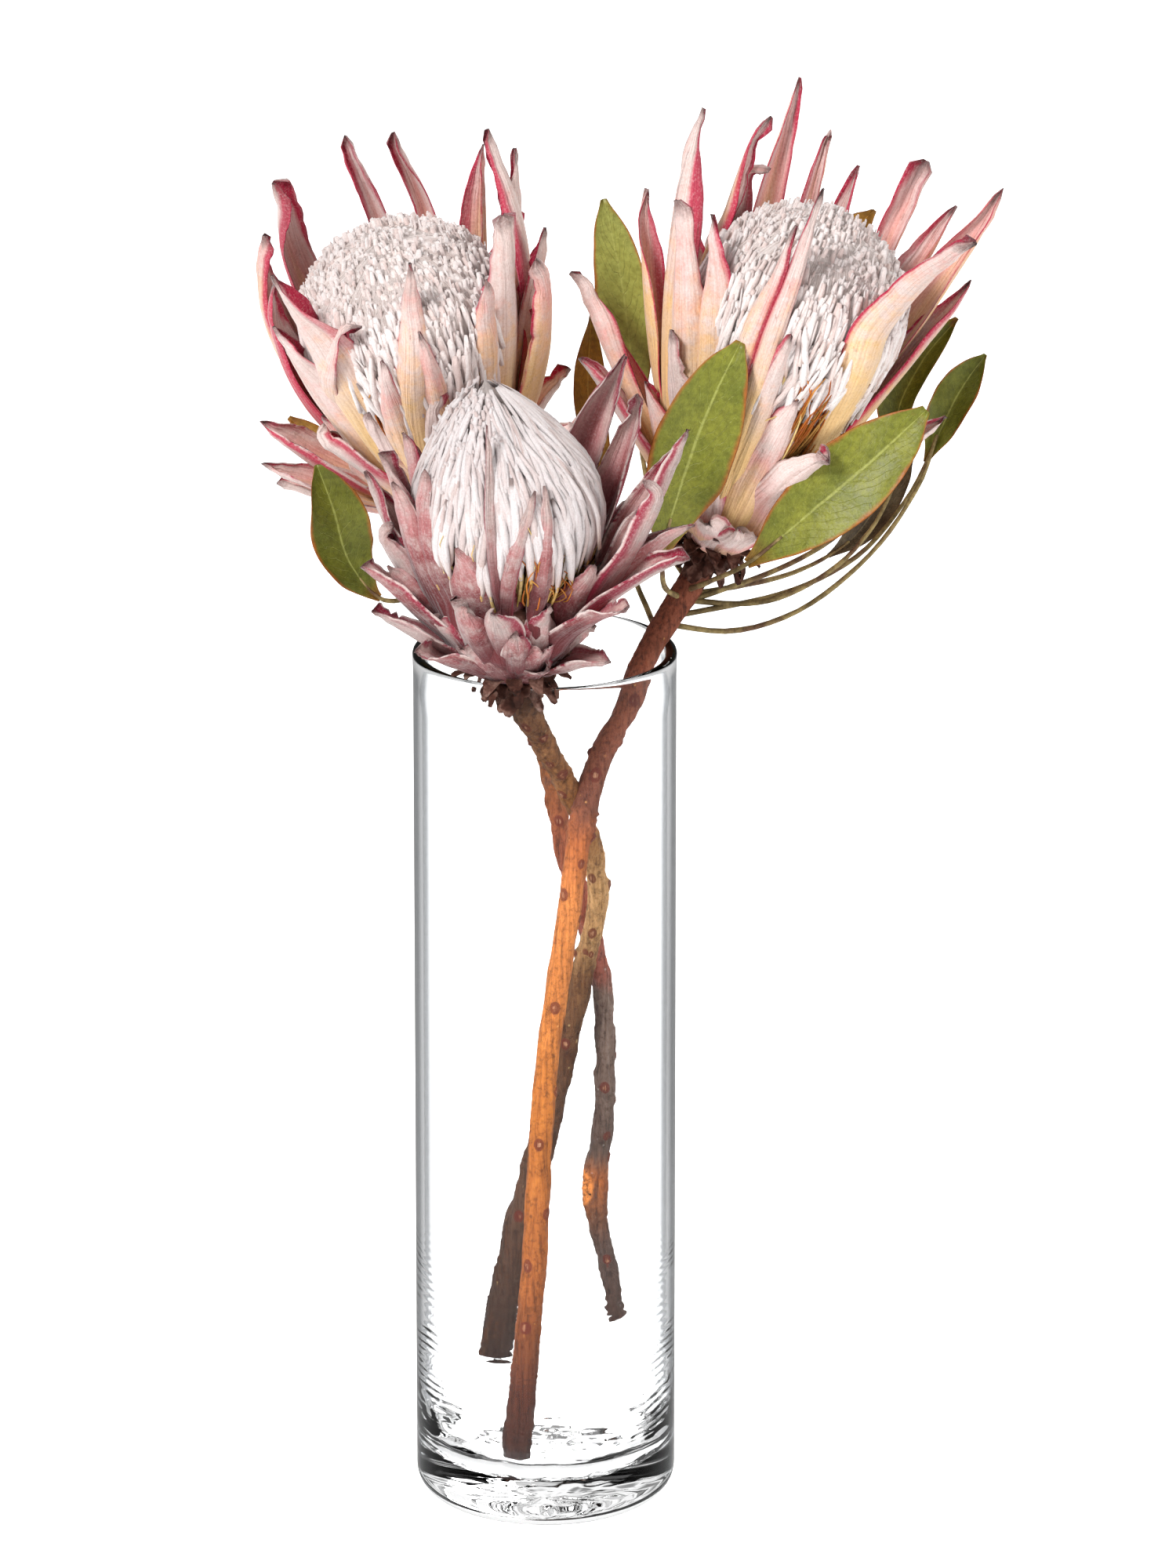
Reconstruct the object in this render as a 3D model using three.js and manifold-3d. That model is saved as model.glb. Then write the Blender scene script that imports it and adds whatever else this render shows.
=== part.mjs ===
// Three dried king proteas standing in a tall glass cylinder vase.
// Millimetres, +Z up. The origin is the centre of the vase's underside, +X is to the
// right of someone facing the bunch and -Y is towards them.
import * as THREE from 'three';
import { mergeVertices } from 'three/addons/utils/BufferGeometryUtils.js';
import Module from 'manifold-3d';

const wasm = await Module();
wasm.setup();
const { Manifold } = wasm;

// Driving dimensions of the vase
const VASE_HEIGHT = 410;
const VASE_RADIUS = 60;
const VASE_WALL = 4;
const VASE_FLOOR = 18;
const HEEL_RADIUS = 13;
const FLOOR_FILLET = 34;
const RIM_BULGE = 1.3;
const RIM_DEPTH = 4;
const VASE_SIDES = 36;

// Clearance kept between pieces that touch
const GAP = 0.35;

// Driving dimensions of the blooms
const CUP_SIDES = 14;
const CUP_WALL = 3;
const CUP_BOTTOM = -4;
const CUP_TOP = 46;
const BOWL_FLOOR = 20;
const BOWL_EDGE = 28;
const BOWL_INSET = 6;
const ROOT_SINK = 1.8;
const BRACT_THICKNESS = 1.6;
const BRACT_CLEAR = 1.5;
const BRACT_EASE = 3;
const BRACT_SETTLES = 4;
const BRACT_TWIST = 14;
const BRACT_HOLLOW_ROOT = 0.1;
const BRACT_HOLLOW_TIP = 0.26;
const BRACT_CURL_FROM = 0.72;

// Outer radius of the cup under a bloom, by height above the bloom's base
const CUP_PROFILE = [[-4, 8], [0, 12], [8, 19], [20, 26], [34, 30], [46, 31]];

// Colours
const COLOURS = {
  glass: 0xdfe6e4,
  barkOrange: 0xa8622c,
  barkTan: 0x9c7a52,
  barkRed: 0x7d4a33,
  bract: 0xc79c8c,
  floret: 0xc9bdb2,
  leaf: 0x7a7a3a,
  leafDry: 0x8a7350,
  leafMustard: 0xa8843c,
};

// Small helpers

// A repeatable draw from 0 to 1 for a whole or broken number
function draw(seed) {
  const wave = Math.sin(seed * 127.1 + 311.7) * 43758.5453;
  return wave - Math.floor(wave);
}

function between(low, high, seed) {
  return low + (high - low) * draw(seed);
}

// Straight-line reading of a table of [place, value] rows
function reading(table, place) {
  if (place <= table[0][0]) return table[0][1];
  for (let row = 1; row < table.length; row += 1) {
    const [from, low] = table[row - 1];
    const [to, high] = table[row];
    if (place <= to) return low + ((high - low) * (place - from)) / (to - from);
  }
  return table[table.length - 1][1];
}

function vector([x, y, z]) {
  return new THREE.Vector3(x, y, z);
}

function solidOf(geometry) {
  const bare = geometry.clone();
  bare.deleteAttribute('normal');
  bare.deleteAttribute('uv');
  const merged = mergeVertices(bare, 1e-4);
  return new Manifold(new wasm.Mesh({
    numProp: 3,
    vertProperties: new Float32Array(merged.attributes.position.array),
    triVerts: new Uint32Array(merged.index.array),
  }));
}

function geometryOf(solid) {
  const mesh = solid.getMesh();
  const geometry = new THREE.BufferGeometry();
  geometry.setAttribute('position', new THREE.BufferAttribute(mesh.vertProperties, 3));
  geometry.setIndex(new THREE.BufferAttribute(mesh.triVerts, 1));
  geometry.computeVertexNormals();
  return geometry;
}

function largestPieceOf(solid) {
  const pieces = solid.decompose();
  return pieces.reduce((best, piece) => (piece.volume() > best.volume() ? piece : best));
}

// Solids made of stations along a line

// A round rod bent along a smooth curve. The radius is read from rows of [share of length, radius].
function rod(points, radii, sides, steps, grow = 0) {
  const curve = new THREE.CatmullRomCurve3(points.map(vector));
  const frames = curve.computeFrenetFrames(steps, false);
  const geometry = new THREE.CylinderGeometry(1, 1, 1, sides, steps);
  const places = geometry.attributes.position;
  for (let i = 0; i < places.count; i += 1) {
    const share = places.getY(i) + 0.5;
    const station = Math.round(share * steps);
    const radius = reading(radii, share) + grow;
    const centre = curve.getPointAt(share);
    if (station === 0) centre.addScaledVector(frames.tangents[0], -grow);
    if (station === steps) centre.addScaledVector(frames.tangents[steps], grow);
    centre.addScaledVector(frames.normals[station], -places.getX(i) * radius);
    centre.addScaledVector(frames.binormals[station], places.getZ(i) * radius);
    places.setXYZ(i, centre.x, centre.y, centre.z);
  }
  return solidOf(geometry);
}

// A thin blade. Each station gives its middle, its width direction, its outward direction,
// its half width, its half thickness, how far its edges stand in from the middle and the
// half thickness of the edges. Both faces are split into triangles alike.
function blade(stations, tip) {
  const blunt = stations[0].edge > 0;
  const rings = stations.map(({ middle, across, outward, half, thick, cup, edge }) => {
    const corner = (side, rise) => {
      const place = middle.clone().addScaledVector(across, side);
      return place.addScaledVector(outward, rise);
    };
    const [outer, inner] = [corner(0, thick), corner(0, -thick)];
    if (!blunt) return [corner(half, -cup), outer, corner(-half, -cup), inner];
    return [
      corner(half, -cup - edge), corner(half, edge - cup), outer,
      corner(-half, edge - cup), corner(-half, -cup - edge), inner,
    ];
  });
  // Whether the split of each side face starts at the lower end of its first corner
  const startsLow = blunt ? [true, false, true, false, false, true] : [false, true, false, true];
  const corners = startsLow.length;
  const triangles = [];
  for (let side = 0; side < corners; side += 1) {
    const next = (side + 1) % corners;
    if (side > 0 && side < corners - 1) triangles.push([0, next, side]);
    for (let row = 0; row < rings.length - 1; row += 1) {
      const [a, b] = [row * corners + side, row * corners + next];
      const [c, d] = [b + corners, a + corners];
      if (startsLow[side]) triangles.push([a, b, c], [a, c, d]);
      else triangles.push([a, b, d], [b, c, d]);
    }
    const top = (rings.length - 1) * corners;
    triangles.push([top + side, top + next, rings.length * corners]);
  }
  const geometry = new THREE.BufferGeometry().setFromPoints([...rings.flat(), tip]);
  geometry.setIndex(triangles.flat());
  return solidOf(geometry);
}

// The vase: a thick-bottomed cylinder with a rounded heel and a slightly swollen rim
function vaseSolid() {
  const inside = VASE_RADIUS - VASE_WALL;
  const outline = new THREE.Path();
  outline.moveTo(0, 0);
  outline.lineTo(VASE_RADIUS - HEEL_RADIUS, 0);
  outline.absarc(VASE_RADIUS - HEEL_RADIUS, HEEL_RADIUS, HEEL_RADIUS, -Math.PI / 2, 0, false);
  outline.lineTo(VASE_RADIUS, VASE_HEIGHT - 2 * RIM_DEPTH);
  outline.quadraticCurveTo(VASE_RADIUS + 2 * RIM_BULGE, VASE_HEIGHT, inside + VASE_WALL / 2, VASE_HEIGHT);
  outline.quadraticCurveTo(inside, VASE_HEIGHT, inside, VASE_HEIGHT - RIM_DEPTH);
  outline.lineTo(inside, VASE_FLOOR + FLOOR_FILLET);
  outline.quadraticCurveTo(inside, VASE_FLOOR, inside - FLOOR_FILLET, VASE_FLOOR);
  outline.lineTo(0, VASE_FLOOR);
  const profile = outline.getPoints(3);
  const geometry = new THREE.LatheGeometry(profile, VASE_SIDES);
  geometry.rotateX(Math.PI / 2);
  return solidOf(geometry);
}

// Stems: the centre line from the bloom down to the cut end, and the radius along it
const STEMS = {
  right: {
    line: [[75, 25, 448.5], [63, 20, 429], [48, 9, 407], [35, 3, 378], [24, -4, 356], [16, -13, 326],
      [12, -14, 296], [7, -15, 262], [2.5, -17, 230], [-1, -20, 196], [-3, -22, 160], [-5, -26, 122],
      [-9, -30, 76], [-14, -31.5, 20]],
    radii: [[0, 8], [0.03, 6.6], [0.07, 6], [0.26, 5.4], [0.3, 6.3], [0.34, 5.3], [0.6, 5.3],
      [0.9, 6.2], [1, 7]],
  },
  front: {
    line: [[-14.2, -45.6, 409.6], [-9, -40, 396], [-1, -27, 376], [9, -9, 350], [18, 1, 326], [23, 7, 304],
      [24, 10, 282], [19, 14, 256], [12, 18, 224], [5, 22, 190], [-3, 27, 155], [-12, 32, 118],
      [-19, 36, 82], [-24.5, 39.2, 50]],
    radii: [[0, 7.6], [0.05, 6.4], [0.12, 5.6], [0.4, 5], [0.5, 6.4], [0.7, 6.8], [0.86, 7.4], [1, 8.1]],
  },
  left: {
    line: [[-36.9, 58.2, 453.2], [-34, 55, 440], [-24, 46, 418], [-15, 44, 400], [-6, 40, 374], [0, 34, 350],
      [5, 28, 326], [11, 24, 300], [19, 26, 272], [26, 28, 241], [28, 30, 212], [28, 31, 181],
      [25, 32, 150], [24, 33, 124], [29, 34, 100], [34, 35.6, 70]],
    radii: [[0, 7.4], [0.05, 5], [0.1, 4], [0.35, 4], [0.42, 5], [0.8, 5], [0.84, 6.2],
      [0.88, 4.4], [1, 4.1]],
  },
};
const STEM_SIDES = 9;
const STEM_STEPS = 22;

function stemSolid(stem, grow = 0) {
  return rod(stem.line, stem.radii, STEM_SIDES, STEM_STEPS, grow);
}

// Blooms: the middle of the base, the way the bloom points and the lie of its bracts.
// A placed bract is [azimuth, root height, length, lean at the root, lean at the tip,
// sideways lean, width, tip curl]. Azimuth 0 is +X and 90 is +Y round the bloom's own axis,
// a lean is in degrees away from that axis, and a tip curl adds to the lean near the tip.
const BLOOMS = {
  front: {
    base: [-13, -45, 414],
    axis: [-0.04, -0.17, 0.98],
    tall: 1,
    placed: [
      [214, 12, 104, 26, -4, -4, 22, 0], [196, 12, 94, 36, 4, 2, 20, 0], [182, 22, 98, 24, 12, 4, 17, 0],
      [168, 22, 88, 42, 10, 8, 17, 0], [186, 10, 74, 44, 26, -8, 18, 20],
      [200, 8, 70, 46, 42, -10, 18, 25], [194, 3, 64, 60, 46, 0, 18, 10],
      [214, 0, 48, 62, 52, -4, 22, 15], [258, 6, 72, 26, -2, -16, 27, 0], [236, 4, 56, 36, 20, -8, 24, 0],
      [246, -2, 38, 48, 42, -8, 27, 0], [292, 4, 46, 36, 18, 8, 20, 0], [300, -2, 28, 54, 56, 0, 18, 0],
      [334, 0, 42, 66, 72, -6, 18, 0], [264, 20, 90, 12, -10, 16, 14, 0], [296, 18, 92, 14, -8, 6, 16, 0],
      [320, 10, 66, 36, 52, 6, 20, 0], [336, 12, 90, 38, 58, 4, 20, 15],
      [350, 14, 94, 40, 46, -8, 19, 25], [340, 20, 104, 42, 12, 4, 18, 0],
      [0, 20, 114, 44, 24, 0, 20, 15], [38, 26, 124, 46, -18, -28, 16, 0],
      [60, 28, 126, 40, -20, -22, 18, 0], [128, 30, 128, 34, -24, 8, 18, 0],
    ],
    rings: [
      { count: 4, height: 32, length: [108, 126], lean: [24, 2], width: 22, from: 66, to: 160 },
      { count: 4, height: 16, length: [62, 84], lean: [44, 34], width: 22, from: 10, to: 160 },
      { count: 3, height: 5, length: [34, 48], lean: [58, 60], width: 22, from: 20, to: 170 },
    ],
    tuft: 'closed',
  },
  left: {
    base: [-38, 57, 457],
    axis: [-0.225, -0.308, 0.924],
    tall: 0.98,
    placed: [
      [165, 30, 148, 48, -26, 5, 19, 0], [134, 34, 160, 50, -36, 11, 17, 0],
      [174, 24, 134, 46, -22, 10, 20, 0], [209, 18, 124, 28, 12, -2, 26, 0],
      [192, 30, 130, 22, -16, 30, 18, 40], [262, 28, 142, 8, 2, 6, 17, 0],
      [318, 28, 120, 8, 22, 7, 18, 0], [338, 28, 140, 22, 5, 9, 22, 0], [7, 32, 158, 34, -12, 15, 19, 0],
      [20, 34, 142, 24, 12, 7, 17, 0], [56, 36, 142, 22, 2, -18, 15, 0], [356, 22, 128, 38, 6, -9, 22, 0],
      [10, 28, 122, 28, 16, -6, 17, 0], [112, 36, 150, 18, 4, -4, 13, 0], [90, 36, 146, 22, 6, 2, 13, 0],
      [188, 10, 88, 56, 28, -6, 22, 0], [196, 4, 80, 54, 50, -8, 19, 0], [188, -1, 74, 62, 60, -9, 18, 0],
      [213, 10, 78, 32, 32, -7, 21, 15], [238, 6, 76, 26, 12, -6, 23, 0], [262, 10, 94, 20, 2, 18, 24, 0],
      [290, 8, 78, 28, 16, 6, 23, 0],
    ],
    rings: [
      { count: 6, height: 22, length: [86, 112], lean: [38, 24], width: 23, from: 16, to: 160 },
      { count: 5, height: 8, length: [52, 70], lean: [52, 52], width: 22, from: 330, to: 520 },
    ],
    tuft: 'open',
  },
  right: {
    base: [75, 25, 453],
    axis: [0.329, -0.1215, 0.936],
    tall: 1.12,
    placed: [
      [184, 30, 164, 28, 4, -18, 20, 0], [170, 28, 132, 34, 20, -9, 17, 0],
      [209, 24, 140, 26, 8, -18, 21, 0], [148, 36, 144, 22, 10, -6, 18, 40],
      [160, 36, 158, 20, 6, -12, 18, 0], [110, 36, 164, 22, 14, -3, 15, 0],
      [90, 36, 156, 22, 16, 2, 13, 35], [53, 36, 154, 22, 16, 7, 20, 0], [29, 32, 168, 27, 10, -3, 21, 0],
      [14, 32, 154, 24, 4, 1, 19, 0], [346, 28, 156, 20, 16, 10, 21, 45],
      [12, 18, 140, 34, 18, 8, 18, 15], [250, 24, 146, 18, -6, -12, 24, 0],
      [284, 22, 124, 14, 8, -8, 20, 0], [226, 26, 136, 14, 14, -14, 20, 0],
      [174, 16, 116, 46, 42, -7, 20, 0], [185, 10, 94, 46, 52, 4, 19, 0],
      [214, 8, 94, 28, 22, -16, 21, 0], [276, 10, 92, 20, 8, 2, 22, 0], [303, 4, 66, 28, 44, 8, 23, 0],
      [329, 8, 60, 28, 16, 6, 21, 0], [265, 0, 24, 50, 56, 3, 17, 0], [2, 6, 102, 44, 38, 8, 19, 0],
      [242, 4, 62, 32, 20, -6, 24, 0], [318, 22, 112, 20, 14, 6, 20, 0],
    ],
    rings: [
      { count: 1, height: 36, length: [136, 146], lean: [22, 12], width: 16, from: 60, to: 84 },
      { count: 3, height: 24, length: [90, 116], lean: [34, 24], width: 23, from: 94, to: 152 },
      { count: 3, height: 8, length: [50, 70], lean: [52, 54], width: 22, from: 94, to: 152 },
      { count: 1, height: 24, length: [96, 104], lean: [34, 24], width: 22, from: 42, to: 62 },
    ],
    tuft: 'open',
  },
};

// The axes of a bloom: x to the right, y to the back and z along the way that it points
function bloomAxes(bloom) {
  const z = vector(bloom.axis).normalize();
  const x = new THREE.Vector3(1, 0, 0).addScaledVector(z, -z.x).normalize();
  const y = new THREE.Vector3().crossVectors(z, x);
  return { base: vector(bloom.base), x, y, z };
}

function turned(axes, azimuth) {
  const angle = THREE.MathUtils.degToRad(azimuth);
  const radial = axes.x.clone().multiplyScalar(Math.cos(angle)).addScaledVector(axes.y, Math.sin(angle));
  const around = axes.x.clone().multiplyScalar(-Math.sin(angle)).addScaledVector(axes.y, Math.cos(angle));
  return { radial, around };
}

function inBloom(axes, geometry) {
  const place = new THREE.Matrix4().makeBasis(axes.x, axes.y, axes.z).setPosition(axes.base);
  return solidOf(geometry.rotateX(Math.PI / 2).applyMatrix4(place));
}

function cupRadius(height) {
  return reading(CUP_PROFILE, height);
}

// Share of the full width along a bract, from its root to its tip
const BRACT_OUTLINE = [[0, 0.5], [0.25, 0.84], [0.5, 1], [0.79, 0.78], [0.92, 0.42]];
const BRACT_WALK = 24;

// The middle line of a bract. It grows from the cup by its leans and lies on the cup and
// the tuft where it would pass inside them.
function bractLine(axes, embrace, [azimuth, height, length, leanRoot, leanTip, sideways, , curl]) {
  const { radial, around } = turned(axes, azimuth);
  const rad = THREE.MathUtils.degToRad;
  const place = axes.base.clone().addScaledVector(axes.z, height);
  place.addScaledVector(radial, cupRadius(height) - ROOT_SINK);
  const line = [place.clone()];
  for (let step = 0; step < BRACT_WALK; step += 1) {
    const share = (step + 0.5) / BRACT_WALK;
    const curling = curl * Math.max(0, (share - BRACT_CURL_FROM) / (1 - BRACT_CURL_FROM)) ** 2;
    const lean = rad(leanRoot + (leanTip - leanRoot) * share + curling);
    const swing = rad(sideways * share);
    const along = axes.z.clone().multiplyScalar(Math.cos(lean)).addScaledVector(radial, Math.sin(lean));
    along.multiplyScalar(Math.cos(swing)).addScaledVector(around, Math.sin(swing));
    place.addScaledVector(along, length / BRACT_WALK);
    const rise = place.clone().sub(axes.base);
    const up = rise.dot(axes.z);
    const out = rise.addScaledVector(axes.z, -up);
    const reach = out.length();
    const limit = reading(embrace, up);
    const eased = (reach + limit + Math.hypot(reach - limit, BRACT_EASE)) / 2;
    const settled = Math.min(1, (step + 1) / BRACT_SETTLES);
    line.push(place.clone().addScaledVector(out.normalize(), (eased - reach) * settled));
  }
  return line;
}

function bractSolid(axes, embrace, row, grow = 0) {
  const [azimuth, height, , , , , width] = row;
  const line = bractLine(axes, embrace, row);
  const { around } = turned(axes, azimuth);
  const twist = THREE.MathUtils.degToRad(between(-BRACT_TWIST, BRACT_TWIST, azimuth * 0.37 + height));
  const end = line[BRACT_WALK].clone().sub(line[BRACT_WALK - 1]).normalize();
  const stations = BRACT_OUTLINE.map(([share, widthShare]) => {
    const step = Math.round(share * BRACT_WALK);
    const along = line[step + 1].clone().sub(line[Math.max(0, step - 1)]).normalize();
    const across = around.clone().addScaledVector(along, -around.dot(along)).normalize();
    across.applyAxisAngle(along, twist * share).negate();
    const half = (width / 2) * widthShare;
    return {
      middle: line[step].clone().addScaledVector(along, step === 0 ? -grow : 0),
      across,
      outward: new THREE.Vector3().crossVectors(along, across),
      half: half + 2 * grow,
      thick: BRACT_THICKNESS / 2 + grow,
      cup: (BRACT_HOLLOW_ROOT + (BRACT_HOLLOW_TIP - BRACT_HOLLOW_ROOT) * share) * half,
      edge: grow,
    };
  });
  return blade(stations, line[BRACT_WALK].addScaledVector(end, grow));
}

// The bracts of a bloom: the placed ones, and those that stand evenly in part rings
function bractsOf(bloom) {
  const all = [...bloom.placed];
  bloom.rings.forEach((ring, level) => {
    for (let i = 0; i < ring.count; i += 1) {
      const seed = level * 50 + i;
      const azimuth = ring.from + ((ring.to - ring.from) * (i + 0.5)) / ring.count + between(-3, 3, seed);
      all.push([
        azimuth % 360, ring.height + between(-2, 2, seed + 0.3), between(...ring.length, seed + 0.5),
        ring.lean[0] + between(-5, 5, seed + 0.7), ring.lean[1] + between(-6, 6, seed + 0.9),
        between(-8, 8, seed + 0.1), ring.width + between(-2, 3, seed + 0.2), 0,
      ]);
    }
  });
  return all;
}

// The woody cup that carries the bracts, open at the top for the florets
function cupSolid(axes, grow = 0) {
  const outer = CUP_PROFILE.map(([height, radius]) => new THREE.Vector2(radius + grow, height));
  outer[0].y -= grow;
  outer[outer.length - 1].y += grow;
  const bowl = [
    new THREE.Vector2(cupRadius(CUP_TOP) - CUP_WALL - grow, CUP_TOP + grow),
    new THREE.Vector2(cupRadius(BOWL_EDGE) - CUP_WALL - grow, BOWL_EDGE),
    new THREE.Vector2(cupRadius(BOWL_EDGE) - CUP_WALL - BOWL_INSET - grow, BOWL_FLOOR + grow),
  ];
  const bottom = new THREE.Vector2(0, CUP_BOTTOM - grow);
  const floor = new THREE.Vector2(0, BOWL_FLOOR + grow);
  const profile = [bottom, ...outer, ...bowl, floor];
  return inBloom(axes, new THREE.LatheGeometry(profile, CUP_SIDES));
}

// The tufts of florets that rise out of the cups. face is [height, radius, lean of the
// florets above that row] from the cup to the crown, and embrace is [height, least radius
// of the bracts that lie on the florets].
const TUFTS = {
  open: {
    around: 14,
    face: [[46, 25, 22], [68, 31, 28], [90, 37, 32], [110, 40, 32], [127, 36, 30], [138, 24, 18],
      [142, 9, 4]],
    crown: 144,
    stand: 14,
    embrace: [[66, 38.5], [86, 44], [104, 49], [116, 50.5], [130, 49], [143, 41], [152, 28], [160, 4]],
  },
  closed: {
    around: 14,
    face: [[46, 26, 34], [64, 35, 24], [84, 38, 8], [102, 32, -2], [117, 22, -6], [128, 11, -4]],
    crown: 134,
    stand: 13,
    embrace: [[62, 40.5], [80, 44], [98, 42], [114, 34], [126, 25], [136, 16], [147, 5], [152, 2]],
  },
};

// The tuft's heights above the cup's rim are drawn out by the bloom's own share
function stretched(rows, tall) {
  const drawn = (height) => Math.min(height, CUP_TOP) + Math.max(0, height - CUP_TOP) * tall;
  return rows.map(([height, ...rest]) => [drawn(height), ...rest]);
}

function bractNode(bloom, grow = 0) {
  const axes = bloomAxes(bloom);
  const onCup = CUP_PROFILE.map(([height, radius]) => [height, radius + BRACT_CLEAR]);
  const embrace = [...onCup, ...stretched(TUFTS[bloom.tuft].embrace, bloom.tall)];
  const blades = bractsOf(bloom).map((row) => bractSolid(axes, embrace, row, grow));
  return Manifold.union([cupSolid(axes, grow), ...blades]);
}

// Florets: the tuft's face with every cell of it raised to one floret
const FLORET_WAIST = 0.5;
const FLORET_SHOULDER = 0.72;
const CELL_CORNERS = 4;

function tuftSolid(bloom) {
  const axes = bloomAxes(bloom);
  const { around, crown, stand } = TUFTS[bloom.tuft];
  const face = stretched([...TUFTS[bloom.tuft].face, [crown, 0]], bloom.tall);
  const top = face.pop()[0];
  const seatRadius = cupRadius(BOWL_EDGE) - CUP_WALL - 2 * GAP;
  const seat = [[BOWL_FLOOR + GAP, seatRadius - BOWL_INSET], [BOWL_EDGE + 1, seatRadius]];
  const rows = [...seat, ...face];
  const places = [];
  const add = (place) => places.push(place) - 1;
  const onAxis = (height) => axes.base.clone().addScaledVector(axes.z, height);
  const ringPlace = (row, i) => {
    const [height, radius] = rows[row];
    const azimuth = (360 * (i + row / 2)) / around;
    return onAxis(height).addScaledVector(turned(axes, azimuth).radial, radius);
  };
  const turns = [...Array(around).keys()];
  const rings = rows.map((_, row) => turns.map((i) => add(ringPlace(row, i))));
  const bottom = add(onAxis(rows[0][0]));
  const crest = add(onAxis(top));
  const triangles = [];
  for (const i of turns) {
    const next = (i + 1) % around;
    triangles.push([bottom, rings[0][next], rings[0][i]]);
    triangles.push([crest, rings[rings.length - 1][i], rings[rings.length - 1][next]]);
    for (let row = 0; row < rows.length - 1; row += 1) {
      const cell = [rings[row][i], rings[row][next], rings[row + 1][next], rings[row + 1][i]];
      if (row < seat.length) {
        triangles.push([cell[0], cell[1], cell[2]], [cell[0], cell[2], cell[3]]);
        continue;
      }
      const middle = new THREE.Vector3();
      cell.forEach((corner) => middle.addScaledVector(places[corner], 1 / CELL_CORNERS));
      const { radial } = turned(axes, (360 * (i + row / 2 + 0.75)) / around);
      const seed = row * 40 + i;
      const lean = THREE.MathUtils.degToRad(rows[row][2] + between(-5, 5, seed));
      const along = axes.z.clone().multiplyScalar(Math.cos(lean)).addScaledVector(radial, Math.sin(lean));
      const height = stand * between(0.8, 1.15, seed + 0.5);
      const shoulders = cell.map((corner) => add(middle.clone()
        .addScaledVector(places[corner].clone().sub(middle), FLORET_WAIST)
        .addScaledVector(along, height * FLORET_SHOULDER)));
      const point = add(middle.clone().addScaledVector(along, height));
      for (let side = 0; side < CELL_CORNERS; side += 1) {
        const after = (side + 1) % CELL_CORNERS;
        triangles.push([cell[side], cell[after], shoulders[after]]);
        triangles.push([cell[side], shoulders[after], shoulders[side]]);
        triangles.push([shoulders[side], shoulders[after], point]);
      }
    }
  }
  const geometry = new THREE.BufferGeometry().setFromPoints(places);
  geometry.setIndex(triangles.flat());
  return solidOf(geometry);
}

// Leaves: the stalk and midrib as one line, where the blade begins along it, its greatest
// width, the way its upper face looks, how far its sides fold up, and its colour
const LEAVES = {
  leaf_top: {
    line: [[66, 21.5, 434], [52, 44, 452], [45, 50, 484], [40, 49, 526], [35, 47, 569], [27, 46, 609]],
    begins: 0.42, width: 27, faces: [-0.3, -1, 0.2], fold: 0.12, colour: 'leaf',
  },
  leaf_left: {
    line: [[-30, 51, 431], [-50, 42, 432], [-76, 24, 434], [-91, 16, 453], [-96, 13, 475], [-103, 10, 495]],
    begins: 0.42, width: 30, faces: [0.2, -1, 0.5], fold: 0.3, colour: 'leaf',
  },
  leaf_front: {
    line: [[62, 19, 428], [54, -4, 442], [55, -22, 470], [66, -34, 512], [77, -36, 542], [88, -34, 565]],
    begins: 0.3, width: 39, faces: [0.1, -1, 0.1], fold: 0.18, colour: 'leaf',
  },
  leaf_right: {
    line: [[64, 20.5, 431], [76, -2, 443], [94, -16, 457], [122, -24, 484], [147, -24, 506], [172, -16, 528]],
    begins: 0.32, width: 39, faces: [-0.1, -1, 0.5], fold: 0.16, colour: 'leaf',
  },
  leaf_folded: {
    line: [[60, 18, 425], [109, 38, 437], [141, 46, 456], [161, 54, 484], [162, 56, 508], [173, 56, 531],
      [188, 56, 550]],
    begins: 0.6, width: 24, faces: [-0.5, -1, 0.2], fold: 0.7, colour: 'leaf',
  },
  leaf_far: {
    line: [[57, 16, 420], [109, 30, 427], [143, 36, 443], [165, 42, 468], [176, 46, 489], [183, 48, 505],
      [191, 50, 520], [201, 52, 534]],
    begins: 0.66, width: 22, faces: [-0.3, -1, 0.3], fold: 0.5, colour: 'leaf',
  },
  leaf_back: {
    line: [[68, 23, 438], [78, 62, 446], [96, 94, 486], [122, 114, 536], [140, 114, 572], [151, 110, 586]],
    begins: 0.6, width: 24, faces: [0, -1, 0.1], fold: 0.2, colour: 'leaf',
  },
  leaf_middle: {
    line: [[52, 12, 412], [38, 36, 440], [27, 50, 474], [20, 54, 510], [21, 54, 552]],
    begins: 0.4, width: 17, faces: [0.3, -1, 0], fold: 0.3, colour: 'leafMustard',
  },
  leaf_behind: {
    line: [[-34, 55, 440], [-54, 68, 448], [-81, 78, 460], [-99, 82, 479], [-118, 86, 494]],
    begins: 0.36, width: 17, faces: [0, -1, 0.6], fold: 0.3, colour: 'leaf',
  },
  leaf_dry: {
    line: [[63, 20, 429], [109, 46, 430], [138, 54, 443], [153, 58, 461], [168, 60, 482]],
    begins: 0.56, width: 20, faces: [0.2, -1, 0.5], fold: 0.6, colour: 'leafDry',
  },
};
const BARE_STALKS = {
  stalk_low: [[55, 15, 417], [86, 20, 412], [118, 26, 421], [149, 33, 445], [170, 40, 474], [179, 45, 498]],
  stalk_high: [[61, 19, 427], [100, 26, 424], [131, 30, 438], [150, 34, 458], [160, 37, 478]],
};
const STALK_RADII = [[0, 1.4], [0.7, 1.1], [1, 0.7]];
const BARE_STALK_RADII = [[0, 1.4], [1, 1]];
const STALK_SIDES = 5;
const STALK_STEPS = 7;
const STALK_UNDER_BLADE = 0.12;
const LEAF_THICKNESS = 1.2;
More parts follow.
